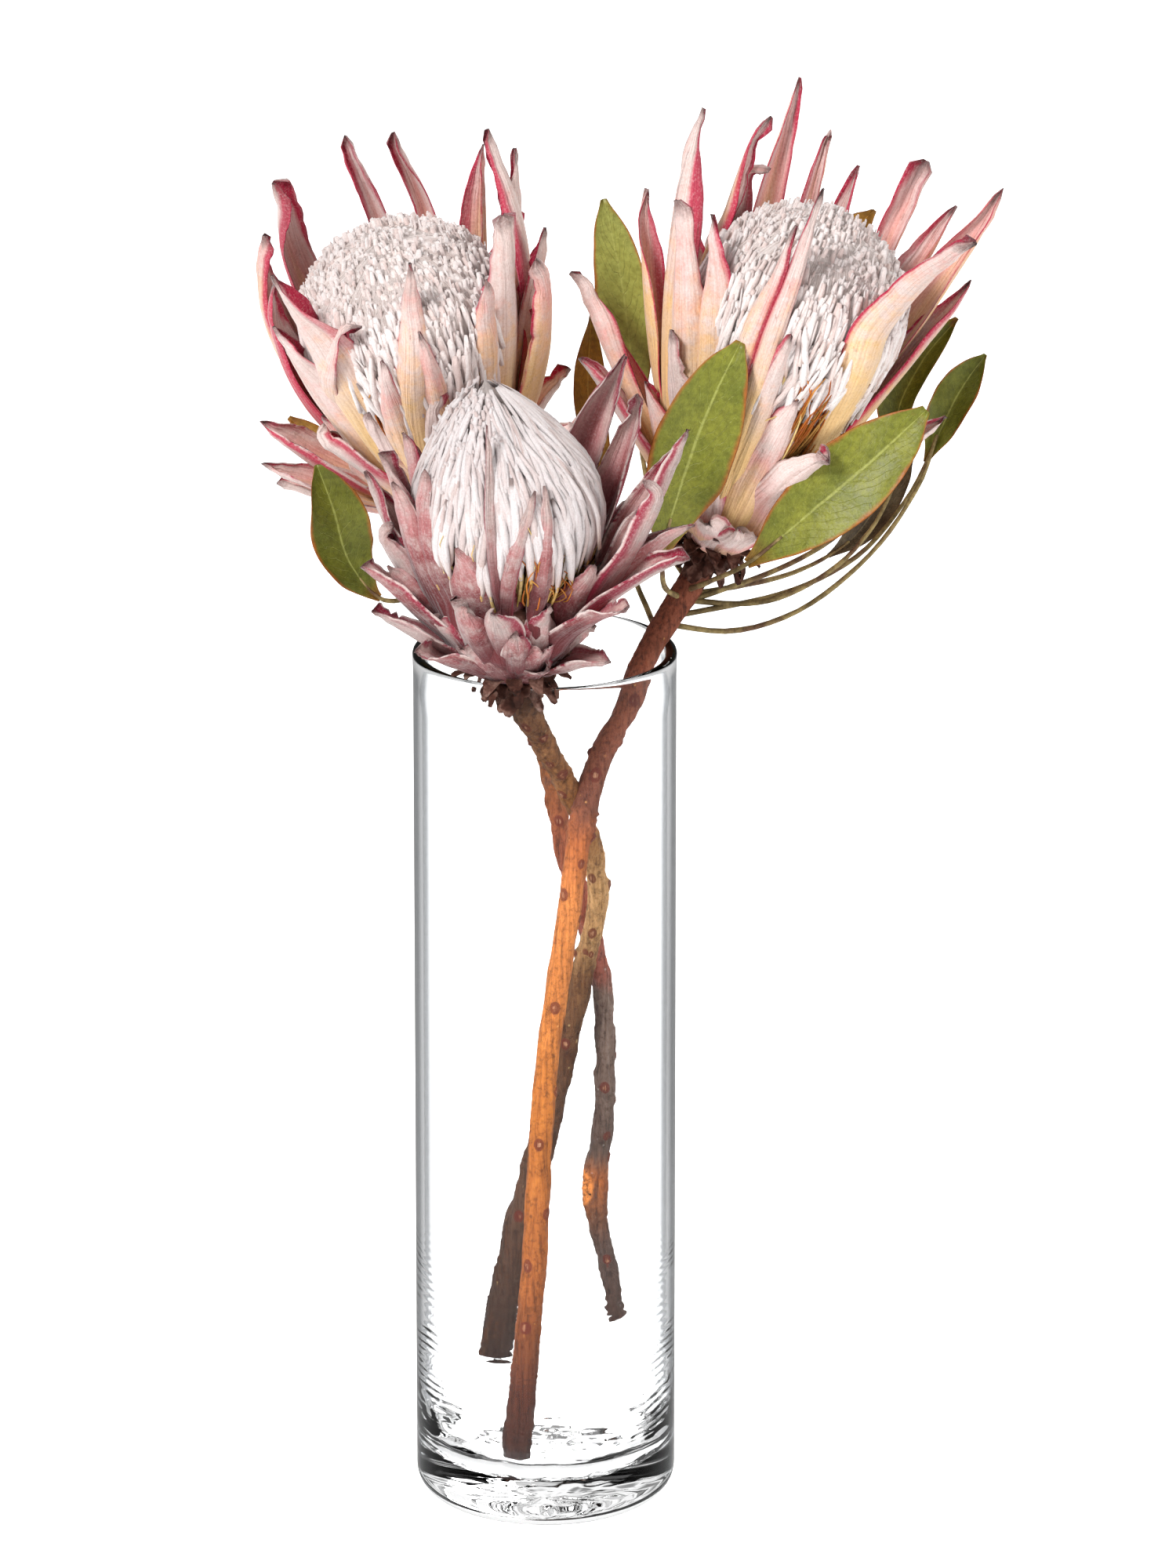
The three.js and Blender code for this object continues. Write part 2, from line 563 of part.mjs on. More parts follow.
const LEAF_OUTLINE = [[0, 0.16], [0.18, 0.56], [0.42, 0.94], [0.62, 1], [0.82, 0.72], [0.94, 0.38]];

function leafSolid(leaf, grow = 0) {
  const curve = new THREE.CatmullRomCurve3(leaf.line.map(vector));
  const faces = vector(leaf.faces).normalize();
  const stations = LEAF_OUTLINE.map(([place, share]) => {
    const at = leaf.begins + (1 - leaf.begins) * place;
    const along = curve.getTangentAt(at);
    const across = new THREE.Vector3().crossVectors(along, faces).normalize();
    const outward = new THREE.Vector3().crossVectors(along, across).normalize();
    const half = (leaf.width / 2) * share;
    return {
      middle: curve.getPointAt(at),
      across,
      outward,
      half: half * Math.cos(leaf.fold) + 2 * grow,
      thick: LEAF_THICKNESS / 2 + grow,
      cup: half * Math.sin(leaf.fold),
      edge: grow,
    };
  });
  const tip = curve.getPointAt(1).addScaledVector(curve.getTangentAt(1), grow);
  const stalkShare = leaf.begins + STALK_UNDER_BLADE * (1 - leaf.begins);
  const stops = [...Array(STALK_STEPS + 1).keys()].map((stop) => stop / STALK_STEPS);
  const stalkLine = stops.map((stop) => curve.getPointAt(stop * stalkShare).toArray());
  const stalk = rod(stalkLine, STALK_RADII, STALK_SIDES, STALK_STEPS, grow);
  return Manifold.union([blade(stations, tip), stalk]);
}

// The nodes, in the order in which they give way to each other: a later piece is trimmed
// to stay clear of every earlier one
const pieces = [];

function boxesMeet(one, other) {
  const [a, b] = [one.boundingBox(), other.boundingBox()];
  return a.min.every((low, i) => low <= b.max[i] && b.min[i] <= a.max[i]);
}

function addPiece(name, colour, roughness, make) {
  let solid = make(0);
  for (const earlier of pieces) {
    if (boxesMeet(solid, earlier.solid) && solid.intersect(earlier.grown).volume() > 0) {
      solid = largestPieceOf(solid.subtract(earlier.grown));
    }
  }
  const grown = make(GAP);
  pieces.push({ name, colour, roughness, solid, grown });
}

addPiece('vase', 'glass', 0.05, () => vaseSolid());
addPiece('stem_right', 'barkOrange', 0.7, (grow) => stemSolid(STEMS.right, grow));
addPiece('stem_front', 'barkTan', 0.8, (grow) => stemSolid(STEMS.front, grow));
addPiece('stem_left', 'barkRed', 0.8, (grow) => stemSolid(STEMS.left, grow));
for (const [name, bloom] of Object.entries(BLOOMS)) {
  addPiece(`bracts_${name}`, 'bract', 0.9, (grow) => bractNode(bloom, grow));
}
for (const [name, leaf] of Object.entries(LEAVES)) {
  addPiece(name, leaf.colour, 0.7, (grow) => leafSolid(leaf, grow));
}
for (const [name, line] of Object.entries(BARE_STALKS)) {
  addPiece(name, 'leafDry', 0.7, (grow) => rod(line, BARE_STALK_RADII, STALK_SIDES, STALK_STEPS, grow));
}
for (const [name, bloom] of Object.entries(BLOOMS)) {
  addPiece(`florets_${name}`, 'floret', 0.95, () => tuftSolid(bloom));
}

const protea = new THREE.Group();
protea.name = 'dried_king_proteas_in_vase';
for (const { name, colour, roughness, solid } of pieces) {
  const material = new THREE.MeshStandardMaterial({ color: COLOURS[colour], roughness, metalness: 0 });
  if (colour === 'glass') {
    material.transparent = true;
    material.opacity = 0.35;
  }
  const mesh = new THREE.Mesh(geometryOf(solid), material);
  mesh.name = name;
  protea.add(mesh);
}

export default protea;
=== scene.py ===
"""Looks of three dried king proteas that stand in a tall glass cylinder vase.

Lengths in the pieces' tables are millimetres and are multiplied by MM where they meet Blender.
"""
from bisect import bisect_right
from math import atan2, copysign, cos, degrees, exp, floor, hypot, pi, radians, sin, sqrt, tau

import bpy
from mathutils import Matrix, Vector, kdtree, noise


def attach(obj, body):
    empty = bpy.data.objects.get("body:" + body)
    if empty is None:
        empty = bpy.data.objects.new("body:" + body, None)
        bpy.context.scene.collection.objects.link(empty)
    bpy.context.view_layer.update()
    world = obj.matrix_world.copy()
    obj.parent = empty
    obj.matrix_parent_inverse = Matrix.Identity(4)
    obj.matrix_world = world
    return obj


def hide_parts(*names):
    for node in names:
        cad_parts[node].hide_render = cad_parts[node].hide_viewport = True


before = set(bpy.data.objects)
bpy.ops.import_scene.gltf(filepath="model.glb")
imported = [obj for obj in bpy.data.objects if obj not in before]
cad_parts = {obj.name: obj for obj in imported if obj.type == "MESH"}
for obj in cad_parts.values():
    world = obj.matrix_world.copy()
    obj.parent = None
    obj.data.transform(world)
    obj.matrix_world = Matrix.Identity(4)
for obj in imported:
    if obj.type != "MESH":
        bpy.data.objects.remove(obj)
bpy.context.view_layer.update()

MM = 0.001
WHITE = (255, 255, 255)
CLEAR = (1.0, 1.0, 1.0, 1.0)


# Helpers for numbers

def draw(seed):
    """A repeatable draw from 0 to 1, out of the far decimals of a sine."""
    wave = sin(seed * 127.1 + 311.7) * 43758.5453
    return wave - floor(wave)


def between(low, high, seed):
    return low + (high - low) * draw(seed)


def reading(table, place):
    """Straight-line reading of a table of (place, value) rows."""
    if place <= table[0][0]:
        return table[0][1]
    for (start, low), (end, high) in zip(table, table[1:]):
        if place <= end:
            return low + (high - low) * (place - start) / (end - start)
    return table[-1][1]


def eased(table, place, step=0.02):
    """Reading of a table whose corners are rounded off."""
    return sum(reading(table, place + step * k) for k in (-2, -1, 0, 1, 2)) / 5


def smooth(low, high, value):
    share = min(1.0, max(0.0, (value - low) / (high - low)))
    return share * share * (3 - 2 * share)


def lump(x, y, z, shift=Vector()):
    """Smooth noise at a place."""
    return noise.noise(Vector((x, y, z)) + shift)


def paint(colour):
    """Blender's linear colour of one given as it looks on screen, in red, green and blue up to 255."""
    if not isinstance(colour, tuple) or len(colour) == 4:
        return colour
    return tuple(((c / 255 + 0.055) / 1.055) ** 2.4 if c > 10 else c / 3294.6 for c in colour) + (1.0,)


# Lines that pieces are laid along

class Line:
    """A smooth line through points, read by share of its length."""

    def __init__(self, points, fineness=6):
        points = [Vector(point) for point in points]
        ends = [points[0] * 2 - points[1]] + points + [points[-1] * 2 - points[-2]]
        self.places = []
        for a, b, c, d in zip(ends, ends[1:], ends[2:], ends[3:]):
            for k in range(fineness):
                t = k / fineness
                self.places.append(0.5 * (
                    2 * b + (c - a) * t + (2 * a - 5 * b + 4 * c - d) * t * t
                    + (3 * b - a - 3 * c + d) * t * t * t
                ))
        self.places.append(points[-1])
        self.marks = [0.0]
        for a, b in zip(self.places, self.places[1:]):
            self.marks.append(self.marks[-1] + (b - a).length)
        self.length = self.marks[-1]

    def at(self, share):
        """The place and the direction at a share of the length."""
        mark = share * self.length
        low = min(max(bisect_right(self.marks, mark) - 1, 0), len(self.marks) - 2)
        a, b = self.places[low], self.places[low + 1]
        part = (mark - self.marks[low]) / max(self.marks[low + 1] - self.marks[low], 1e-9)
        before = self.places[max(low - 1, 0)]
        after = self.places[min(low + 2, len(self.places) - 1)]
        along = (b - before).lerp(after - a, min(1.0, max(0.0, part)))
        return a.lerp(b, part), along.normalized()

    def laid(self, share, wanted):
        """The place at a share of the length, and two ways square to the line, the first as wanted."""
        place, along = self.at(share)
        side = square_to(along, wanted)
        return place, side, along.cross(side)


def square_to(along, wanted):
    """The part of a direction that is square to a line."""
    return (wanted - along * wanted.dot(along)).normalized()


# Masters, modelled once and laid along many lines

def rod_master(sides, rings, parts=1):
    """A straight closed rod of radius 1 from z 0 to z 1, cut into rings of some parts: (corners, faces)."""
    bpy.ops.object.select_all(action="DESELECT")
    bpy.ops.mesh.primitive_cylinder_add(
        vertices=sides, radius=1, depth=1, end_fill_type="TRIFAN", location=(0, 0, 0.5)
    )
    rod = bpy.context.active_object
    bpy.ops.object.transform_apply(location=True)
    bpy.context.tool_settings.mesh_select_mode = (False, True, False)
    mesh = rod.data
    for pieces in (rings, parts):
        if pieces == 1:
            continue
        for part in (*mesh.vertices, *mesh.edges, *mesh.polygons):
            part.select = False
        for edge in mesh.edges:
            low, high = (mesh.vertices[i].co.z for i in edge.vertices)
            edge.select = abs(high - low) > 0.0001
        bpy.ops.object.mode_set(mode="EDIT")
        bpy.ops.mesh.subdivide(number_cuts=pieces - 1)
        bpy.ops.object.mode_set(mode="OBJECT")
    corners = [(v.co.x, v.co.y, round(v.co.z, 5)) for v in mesh.vertices]
    faces = [tuple(p.vertices) for p in mesh.polygons]
    bpy.data.objects.remove(rod)
    bpy.data.meshes.remove(mesh)
    return corners, faces


class Heap:
    """Copies of masters, each laid in its own place, gathered into one piece."""

    FIELDS = ("across", "along", "facing", "tone", "kind")

    def __init__(self):
        self.corners = []
        self.faces = []
        self.fields = {field: [] for field in self.FIELDS}

    def add(self, master, ring, skin, tone=0.5, kind=0.0):
        """Lays a copy: ring(z) is worked out once a ring, and skin(ring, x, y) once a corner."""
        first = len(self.corners)
        rings = {}
        for x, y, z in master[0]:
            if z not in rings:
                rings[z] = ring(z)
            self.corners.append(skin(rings[z], x, y))
            for field, value in zip(self.FIELDS, (x, z, y, tone, kind)):
                self.fields[field].append(value)
        self.faces.extend(tuple(first + i for i in face) for face in master[1])

    def piece(self, name, material, slot, *replaced):
        mesh = bpy.data.meshes.new(name)
        mesh.from_pydata([c * MM for c in self.corners], [], self.faces)
        for field, values in self.fields.items():
            mesh.attributes.new(field, "FLOAT", "POINT").data.foreach_set("value", values)
        piece = bpy.data.objects.new(name, mesh)
        bpy.context.scene.collection.objects.link(piece)
        dressed(piece, material, slot, *replaced)


def dressed(piece, material, slot, *replaced):
    """Gives a finished piece its material and its place in the frame."""
    piece.data.materials.clear()
    piece.data.materials.append(material)
    bpy.ops.object.select_all(action="DESELECT")
    piece.select_set(True)
    bpy.context.view_layer.objects.active = piece
    bpy.ops.object.shade_smooth()
    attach(piece, "root")
    if replaced:
        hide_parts(*replaced)


class Value:
    """A value that nodes work out: a sum with it adds a node."""

    def __init__(self, recipe, socket):
        self.recipe = recipe
        self.socket = socket

    def __add__(self, other):
        return self.recipe.math("ADD", self, other)

    def __sub__(self, other):
        return self.recipe.math("SUBTRACT", self, other)

    def __rsub__(self, other):
        return self.recipe.math("SUBTRACT", other, self)

    def __mul__(self, other):
        return self.recipe.math("MULTIPLY", self, other)

    def __abs__(self):
        return self.recipe.math("ABSOLUTE", self)

    __radd__ = __add__
    __rmul__ = __mul__


# Materials

class Recipe:
    """The nodes of a material or of the room, with the colour and the relief that they give so far."""

    def __init__(self, name, owner=None):
        owner = owner or bpy.data.materials.new(name)
        owner.use_nodes = True
        self.owner = owner
        self.nodes = owner.node_tree.nodes
        self.links = owner.node_tree.links
        self.colour = None
        self.normal = None

    def node(self, kind, inputs=(), **settings):
        made = self.nodes.new("ShaderNode" + kind)
        for setting, value in settings.items():
            setattr(made, setting, value)
        for socket, value in dict(inputs).items():
            self.feed(made.inputs[socket], value)
        return made

    def feed(self, socket, value):
        if isinstance(value, Value):
            self.links.new(value.socket, socket)
        else:
            socket.default_value = value

    def value(self, kind, inputs=(), output=0, **settings):
        return Value(self, self.node(kind, inputs, **settings).outputs[output])

    def field(self, name):
        return self.value("Attribute", output="Fac", attribute_name=name)

    def ray(self, question):
        return self.value("LightPath", output=question)

    def places(self):
        return self.value("TexCoord", output="Object")

    def heights(self, places):
        return self.value("SeparateXYZ", {0: places}, "Z")

    def stretched(self, scale):
        """Object coordinates with their own scale in each direction."""
        return self.value("Mapping", {0: self.places(), "Scale": scale})

    def own_grid(self, around, along):
        """A place on the piece's own skin: across and along it, with a shift by its tone."""
        shift = self.field("facing") + self.field("tone") * 31.0
        across, along = self.field("across") * around, self.field("along") * along
        return self.value("CombineXYZ", {0: across, 1: along, 2: shift})

    def from_axis(self):
        flat = self.value("VectorMath", {0: self.places(), 1: (1.0, 1.0, 0.0)}, operation="MULTIPLY")
        return self.value("VectorMath", {0: flat}, "Value", operation="LENGTH")

    def math(self, operation, first, second=0.0, clamp=False):
        return self.value("Math", {0: first, 1: second}, operation=operation, use_clamp=clamp)

    def luck(self, turns):
        """A share from 0 to 1 that is the same all over one copy."""
        return self.math("FRACT", self.field("tone") * turns)

    def band(self, value, low, high, **ends):
        """0 below low, 1 above high and smooth between, or from one end to another."""
        parts = {"Value": value, "From Min": low, "From Max": high, **ends}
        return self.value("MapRange", parts, interpolation_type="SMOOTHSTEP")

    def noise(self, vector, scale, detail=2.0, roughness=0.5):
        parts = {"Vector": vector, "Scale": scale, "Detail": detail, "Roughness": roughness}
        return self.value("TexNoise", parts, "Fac")

    def grain(self, *sizes):
        return self.noise(self.places(), *sizes)

    def cells(self, vector, scale, feature="F1"):
        return self.value("TexVoronoi", {"Vector": vector, "Scale": scale}, "Distance", feature=feature)

    def weigh(self, share, first, second):
        return self.value("Mix", {0: share, 2: first, 3: second})

    def mix(self, share, first, second, blend="MIX"):
        parts = {"Factor": share, 6: paint(first), 7: paint(second)}
        return self.value("Mix", parts, 2, data_type="RGBA", blend_type=blend)

    def ramp(self, value, *stops):
        made = self.node("ValToRGB", {0: value})
        points = made.color_ramp.elements
        while len(points) < len(stops):
            points.new(0.5)
        for point, (place, colour) in zip(points, stops):
            point.position = place
            point.color = paint(colour)
        return Value(self, made.outputs["Color"])

    def lay(self, share, colour, blend="MIX"):
        """Lays a colour over what is there."""
        self.colour = self.mix(share, self.colour, colour, blend)

    def shade(self, share, value, low, high, dark, light=WHITE):
        """Darkens what is there where a value is low."""
        self.lay(share, self.ramp(value, (low, dark), (high, light)), "MULTIPLY")

    def relief(self, height, distance, strength=1.0):
        """Raises bumps on top of the relief that is there."""
        parts = {"Height": height, "Distance": distance * MM, "Strength": strength}
        if self.normal is not None:
            parts["Normal"] = self.normal
        self.normal = self.value("Bump", parts)

    def finish(self, roughness, **plain):
        skin = self.nodes["Principled BSDF"]
        self.feed(skin.inputs["Base Color"], self.colour)
        self.feed(skin.inputs["Roughness"], roughness)
        if self.normal is not None:
            self.feed(skin.inputs["Normal"], self.normal)
        for socket, value in plain.items():
            self.feed(skin.inputs[socket.replace("_", " ")], value)
        return self.owner


def felt_material(name, pale, blush, peach, heart, margin, grey, frost, lift):
    """Felt of a bract: golden at its foot, dusty pink above, crimson towards its margins and inside."""
    m = Recipe(name)
    side, along, kind = m.field("across"), m.field("along"), m.field("kind")
    across = abs(side)
    luck = m.luck(7.31)
    leaning = m.luck(3.17) * 2.0 - 1.0
    lines = m.noise(m.own_grid(18.0, 0.7), 1.5, 3.0, 0.6)
    folds = m.noise(m.own_grid(2.2, 1.1), 1.5, 3.0, 0.5)
    drift = m.noise(m.own_grid(1.2, 2.4), 1.6, 3.0, 0.6)
    blotches = m.grain(120.0, 4.0, 0.65)
    down = m.grain(900.0, 3.0, 0.75)

    low = along + (drift - 0.5) * 0.45 + (luck - 0.5) * 0.22
    reach = across + side * leaning * 0.45 + (drift - 0.5) * 0.5
    deep = m.band(reach, 0.55, 1.0) * m.band(along, 0.25, 0.6)
    inside = m.ramp(
        low + (across - 0.5) * 0.4, (0.0, heart), (0.38, peach), (0.6, blush), (0.84, pale), (1.0, margin),
    )
    inside = m.mix(deep * 0.75, inside, margin)

    m.colour = m.ramp(
        low + kind * lift,
        (0.0, heart), (0.38, heart), (0.58, peach), (0.74, blush), (0.92, pale), (1.0, pale),
    )
    m.lay(m.band(blotches + luck * 0.3, 0.45, 0.85) * m.band(along, 0.25, 0.7), grey)
    starts = 0.88 - luck * 0.4
    m.lay(m.band(reach, starts, starts + 0.4) * m.band(along, 0.1, 0.4) * 0.92, margin)
    m.lay(m.band(m.field("facing"), 0.1, -0.2), inside)

    line = m.band(across, 0.9, 0.97) * m.band(along, 0.1, 0.3)
    m.lay(line * m.band(drift, 0.35, 0.55), margin)
    rim = m.band(across, 0.88, 0.96) * m.band(blotches, 0.36, 0.52)
    m.lay(rim * m.band(luck + kind, 1.0 - frost, 1.2 - frost) * 0.85, (232, 216, 210))
    m.lay(m.band(along + blotches * 0.1, 0.98, 1.05) * 0.75, (96, 46, 44))
    stains = m.noise(m.stretched((1.0, 1.0, 0.5)), 190.0, 5.0, 0.7)
    m.lay(m.band(stains, 0.62, 0.72) * 0.4, (140, 80, 62))
    m.lay(m.band(down, 0.48, 0.72) * m.band(along, 0.2, 0.75) * 0.28, (236, 226, 222))
    m.shade(0.5, lines, 0.3, 0.54, (214, 188, 174))
    m.shade(0.4, down, 0.3, 0.53, (206, 190, 184))
    m.relief(folds, 3.4, 0.8)
    m.relief(lines, 0.6, 0.45)
    m.relief(blotches, 1.4, 0.5)
    m.relief(down, 0.35, 0.6)
    return m.finish(0.75, Sheen_Weight=0.25, Sheen_Roughness=0.4, Specular_IOR_Level=0.3)


def floret_material(name, wool, root, shadow):
    """Wool of a floret: a painted shadow at its foot, warm above that, pale and matted with fine hairs
    higher up.
    """
    m = Recipe(name)
    begins, tone = m.field("kind"), m.field("tone")
    along = begins + m.field("along") * (1.0 - begins)
    hairs = m.noise(m.own_grid(5.0, 1.6), 2.4, 4.0, 0.7)
    down = m.grain(1100.0, 3.0, 0.75)
    patches = m.grain(80.0, 4.0, 0.65)
    foot = along + (hairs - 0.5) * 0.3 + (tone - 0.5) * 0.2
    # Painted shadow: the foot of each floret is shadow-coloured where it goes down between the others.
    m.colour = m.ramp(foot, (0.0, shadow), (0.12, root), (0.42, wool), (1.0, wool))
    m.lay(0.8, m.ramp(tone, (0.0, (226, 206, 200)), (0.4, (250, 244, 242)), (1.0, WHITE)), "MULTIPLY")
    m.lay(m.band(patches, 0.52, 0.75) * 0.35, root)
    m.lay(m.band(along + (tone - 0.93) * 2.2, 0.97, 1.04) * 0.8, (104, 72, 62))
    m.shade(0.4, hairs, 0.3, 0.56, (196, 178, 172))
    m.shade(0.5, down, 0.3, 0.56, (214, 202, 198))
    m.relief(hairs, 0.8, 0.6)
    m.relief(down, 0.35, 0.8)
    return m.finish(0.95, Sheen_Weight=0.45, Sheen_Roughness=0.6, Specular_IOR_Level=0.12)


def core_material():
    """What lies deep between the florets: matted wool above, and brown and gold below that are partly the
    florets' golden feet and partly painted shade of the deep gaps.
    """
    m = Recipe("floret_core")
    fibres = m.noise(m.own_grid(40.0, 5.0), 2.0, 4.0, 0.65)
    along = m.field("along") + m.field("kind") * 0.5 + (fibres - 0.5) * 0.2
    # Painted shade: the lower core is dark brown, standing in for the shade deep between the floret feet.
    m.colour = m.ramp(
        along,
        (0.0, (104, 60, 34)), (0.3, (150, 100, 60)), (0.52, (180, 146, 126)), (0.66, (228, 219, 216)),
    )
    m.shade(0.7, fibres, 0.35, 0.58, (180, 158, 148), (255, 252, 250))
    m.relief(fibres, 1.5, 0.8)
    m.relief(m.grain(700.0, 3.0, 0.7), 0.8, 0.8)
    return m.finish(0.95, Specular_IOR_Level=0.15)


def dry_material(name, patches, stops, fibres, dark, relief, roughness, gloss):
    """A dry skin whose colour drifts in patches, darkened and raised by its fibres."""
    m = Recipe(name)
    m.colour = m.ramp(m.grain(*patches), *stops)
    fibres = m.grain(*fibres)
    m.shade(0.5, fibres, 0.35, 0.6, dark)
    m.relief(fibres, *relief)
    return m.finish(roughness, Specular_IOR_Level=gloss)


def bark_material(name, stops, fleck, blotch, blotch_share):
    """Bark whose colour changes along the stem, with fibres, flecks and leaf scars."""
    m = Recipe(name)
    fibres = m.noise(m.stretched((1.0, 1.0, 0.06)), 560.0, 6.0, 0.72)
    patches = m.noise(m.stretched((1.0, 1.0, 0.35)), 100.0, 6.0, 0.72)
    grain = m.grain(420.0, 5.0, 0.78)
    kind = m.field("kind")
    m.colour = m.ramp(m.field("along") + (patches - 0.5) * 0.07, *stops)
    m.lay(m.band(patches, 0.66 - 0.26 * blotch_share, 0.76 - 0.2 * blotch_share) * 0.8, blotch)
    m.lay(0.75, m.ramp(fibres, (0.34, (104, 80, 66)), (0.5, (222, 208, 200)), (0.66, WHITE)), "MULTIPLY")
    m.lay(0.6, m.ramp(grain, (0.36, (104, 82, 70)), (0.5, (240, 234, 230)), (0.7, WHITE)), "MULTIPLY")
    m.lay(m.band(m.cells(m.places(), 190.0), 0.16, 0.06) * m.band(patches, 0.5, 0.6) * 0.7, fleck)
    m.lay(m.band(kind, -0.3, -0.55) * m.band(grain, 0.4, 0.55), (214, 130, 62))
    scar = kind + (grain - 0.5) * 0.3
    m.lay(m.band(scar, 0.25, 0.42) * 0.8, (92, 34, 22))
    m.lay(m.band(scar, 0.7, 0.85) * m.band(fibres, 0.44, 0.56) * 0.8, (176, 128, 96))
    m.relief(fibres, 1.4, 1.0)
    m.relief(patches, 2.4, 0.7)
    m.relief(grain, 0.8, 0.9)
    return m.finish(0.62, Specular_IOR_Level=0.3)


def leaf_material(name, green, deep, edge, vein):
    """A leathery leaf: pale net of veins, margins that have dried orange-brown, and painted light on leaves
    of a high tone and painted shade on those of a low one.
    """
    m = Recipe(name)
    side, along, tone = m.field("across"), m.field("along"), m.field("tone")
    across = abs(side)
    bend = (m.noise(m.own_grid(1.4, 3.0), 1.5, 3.0) - 0.5) * 0.16
    wave = m.math("SINE", (along + bend - across * 0.26) * 44.0)
    ribs = m.band(abs(wave), 0.14, 0.02) * m.band(across, 0.95, 0.5)
    net = m.band(m.cells(m.own_grid(9.0, 20.0), 2.0, "DISTANCE_TO_EDGE"), 0.06, 0.01)
    patches = m.grain(60.0, 4.0, 0.65)
    mottle = m.grain(420.0, 4.0, 0.65)
    m.colour = m.mix(m.band(patches, 0.3, 0.72), green, deep)
    # Painted light and painted shade: a leaf's tone over a half paints it lighter, as if lit, and under a
    # half darker, as if in shade.
    m.lay(m.band(tone, 0.5, 1.0) * 0.55, vein)
    m.lay(m.band(tone, 0.5, 0.0) * 0.5, deep, "MULTIPLY")
    m.lay(m.math("MAXIMUM", ribs * 0.4, net * 0.16), vein)
    m.lay(m.band(abs(side + bend * 0.4), 0.05, 0.012) * 0.6, vein)
    rusty = m.math("MAXIMUM", across + (patches - 0.5) * 0.3, along * (0.62 + patches * 0.5))
    m.lay(m.band(rusty, 0.84, 1.0) * 0.9, edge)
    m.lay(m.band(along, 0.16, 0.0) * 0.6, edge)
    m.shade(0.5, mottle, 0.35, 0.6, (176, 172, 150))
    m.relief(patches, 2.0, 0.5)
    m.relief(ribs * -0.7 + mottle * 0.6, 0.4, 0.8)
    return m.finish(0.34 + mottle * 0.22, Specular_IOR_Level=0.4)


def glass_material():
    """Clear glass with painted dark edges, tinted dark where it is seen edge on, that lets lamps through.
    """
    m = Recipe("clear_glass")
    # Painted dark edges: the glass goes near black where it is seen edge on, standing in for the dark
    # surroundings that it would mirror and bend there.
    m.colour = m.ramp(
        m.value("LayerWeight", {"Blend": 0.5}, "Facing"),
        (0.0, CLEAR), (0.57, (0.97, 0.975, 0.98, 1.0)), (0.68, (0.66, 0.68, 0.7, 1.0)),
        (0.76, (0.12, 0.13, 0.14, 1.0)), (1.0, (0.01, 0.01, 0.012, 1.0)),
    )
    height = m.heights(m.places())
    m.lay(m.band(height, *CLEAR_LIP) * 0.75, CLEAR)
    pool = m.band(m.from_axis(), *CLEAR_POOL_RADII) * m.band(height, *CLEAR_POOL_HEIGHTS)
    m.lay(m.math("MAXIMUM", pool, m.band(height, *CLEAR_BASE)) * 0.85, CLEAR)
    m.finish(0.0, Transmission_Weight=1.0, IOR=1.45, Specular_Tint=(0.1, 0.1, 0.1, 1.0))
    both = m.value("MixShader", {
        0: m.ray("Is Shadow Ray"),
        1: Value(m, m.nodes["Principled BSDF"].outputs[0]),
        2: m.value("BsdfTransparent", {"Color": (0.98, 0.985, 0.985, 1.0)}),
    })
    m.feed(m.nodes["Material Output"].inputs["Surface"], both)
    return m.owner


# The vase

VASE_HEIGHT = 410
VASE_RADIUS = 60
VASE_WALL = 4
VASE_FLOOR = 18
HEEL_RADIUS = 13
PUNT_RADIUS = 44
PUNT_HEIGHT = 2.2
PUNT_SINKS = 0.8
PUNT_DENTS = 1.1
FLOOR_FILLET = 34
RIM_BULGE = 1.3
RIM_DEPTH = 4
VASE_STEPS = 112
RIPPLE_TOP = 150
RIPPLE_PITCH = 3.8
RIPPLE_DEPTH = 0.2
LUMP_DEPTH = 0.9

# Where the painted dark edge is left off, so the glass stays clear though it is seen edge on: between these
# heights, or radii
CLEAR_LIP = ((VASE_HEIGHT - 9) * MM, (VASE_HEIGHT - 3) * MM)
CLEAR_POOL_RADII = (55 * MM, 51 * MM)
CLEAR_POOL_HEIGHTS = (80 * MM, 66 * MM)
CLEAR_BASE = (16 * MM, 11 * MM)


def vase_profile():
    """Half of the vase's section, from the middle of the underside round to the inner floor."""
    inside = VASE_RADIUS - VASE_WALL
    shank = VASE_HEIGHT - 3 * RIM_DEPTH
    fillet = VASE_FLOOR + FLOOR_FILLET
    plain = VASE_HEIGHT - RIM_DEPTH - RIPPLE_TOP
    outline = [(PUNT_RADIUS * k / 14, PUNT_HEIGHT * (1 - (k / 14) ** 2)) for k in range(15)]
    for k in range(13):
        angle = radians(-90 + 90 * k / 12)
        out, up = HEEL_RADIUS * cos(angle), HEEL_RADIUS * sin(angle)
        outline.append((VASE_RADIUS - HEEL_RADIUS + out, HEEL_RADIUS + up))
    outline += [(VASE_RADIUS, HEEL_RADIUS + (shank - HEEL_RADIUS) * k / 30) for k in range(1, 31)]
    for k in range(1, 13):
        angle = radians(180 * k / 12)
        out = (VASE_WALL / 2 + RIM_BULGE * sin(min(angle, pi / 2))) * cos(angle)
        up = RIM_DEPTH * sin(angle)
        outline.append((VASE_RADIUS - VASE_WALL / 2 + out, VASE_HEIGHT - RIM_DEPTH + up))
    outline += [(inside, RIPPLE_TOP + plain * (1 - k / 24)) for k in range(1, 25)]
    outline += [(inside, RIPPLE_TOP - (RIPPLE_TOP - fillet) * k / 150) for k in range(1, 151)]
    for t in (k / 70 for k in range(1, 71)):
        outline.append((inside - FLOOR_FILLET * t * t, fillet - FLOOR_FILLET * (2 * t - t * t)))
    return outline + [((inside - FLOOR_FILLET) * (1 - k / 16), float(VASE_FLOOR)) for k in range(1, 17)]


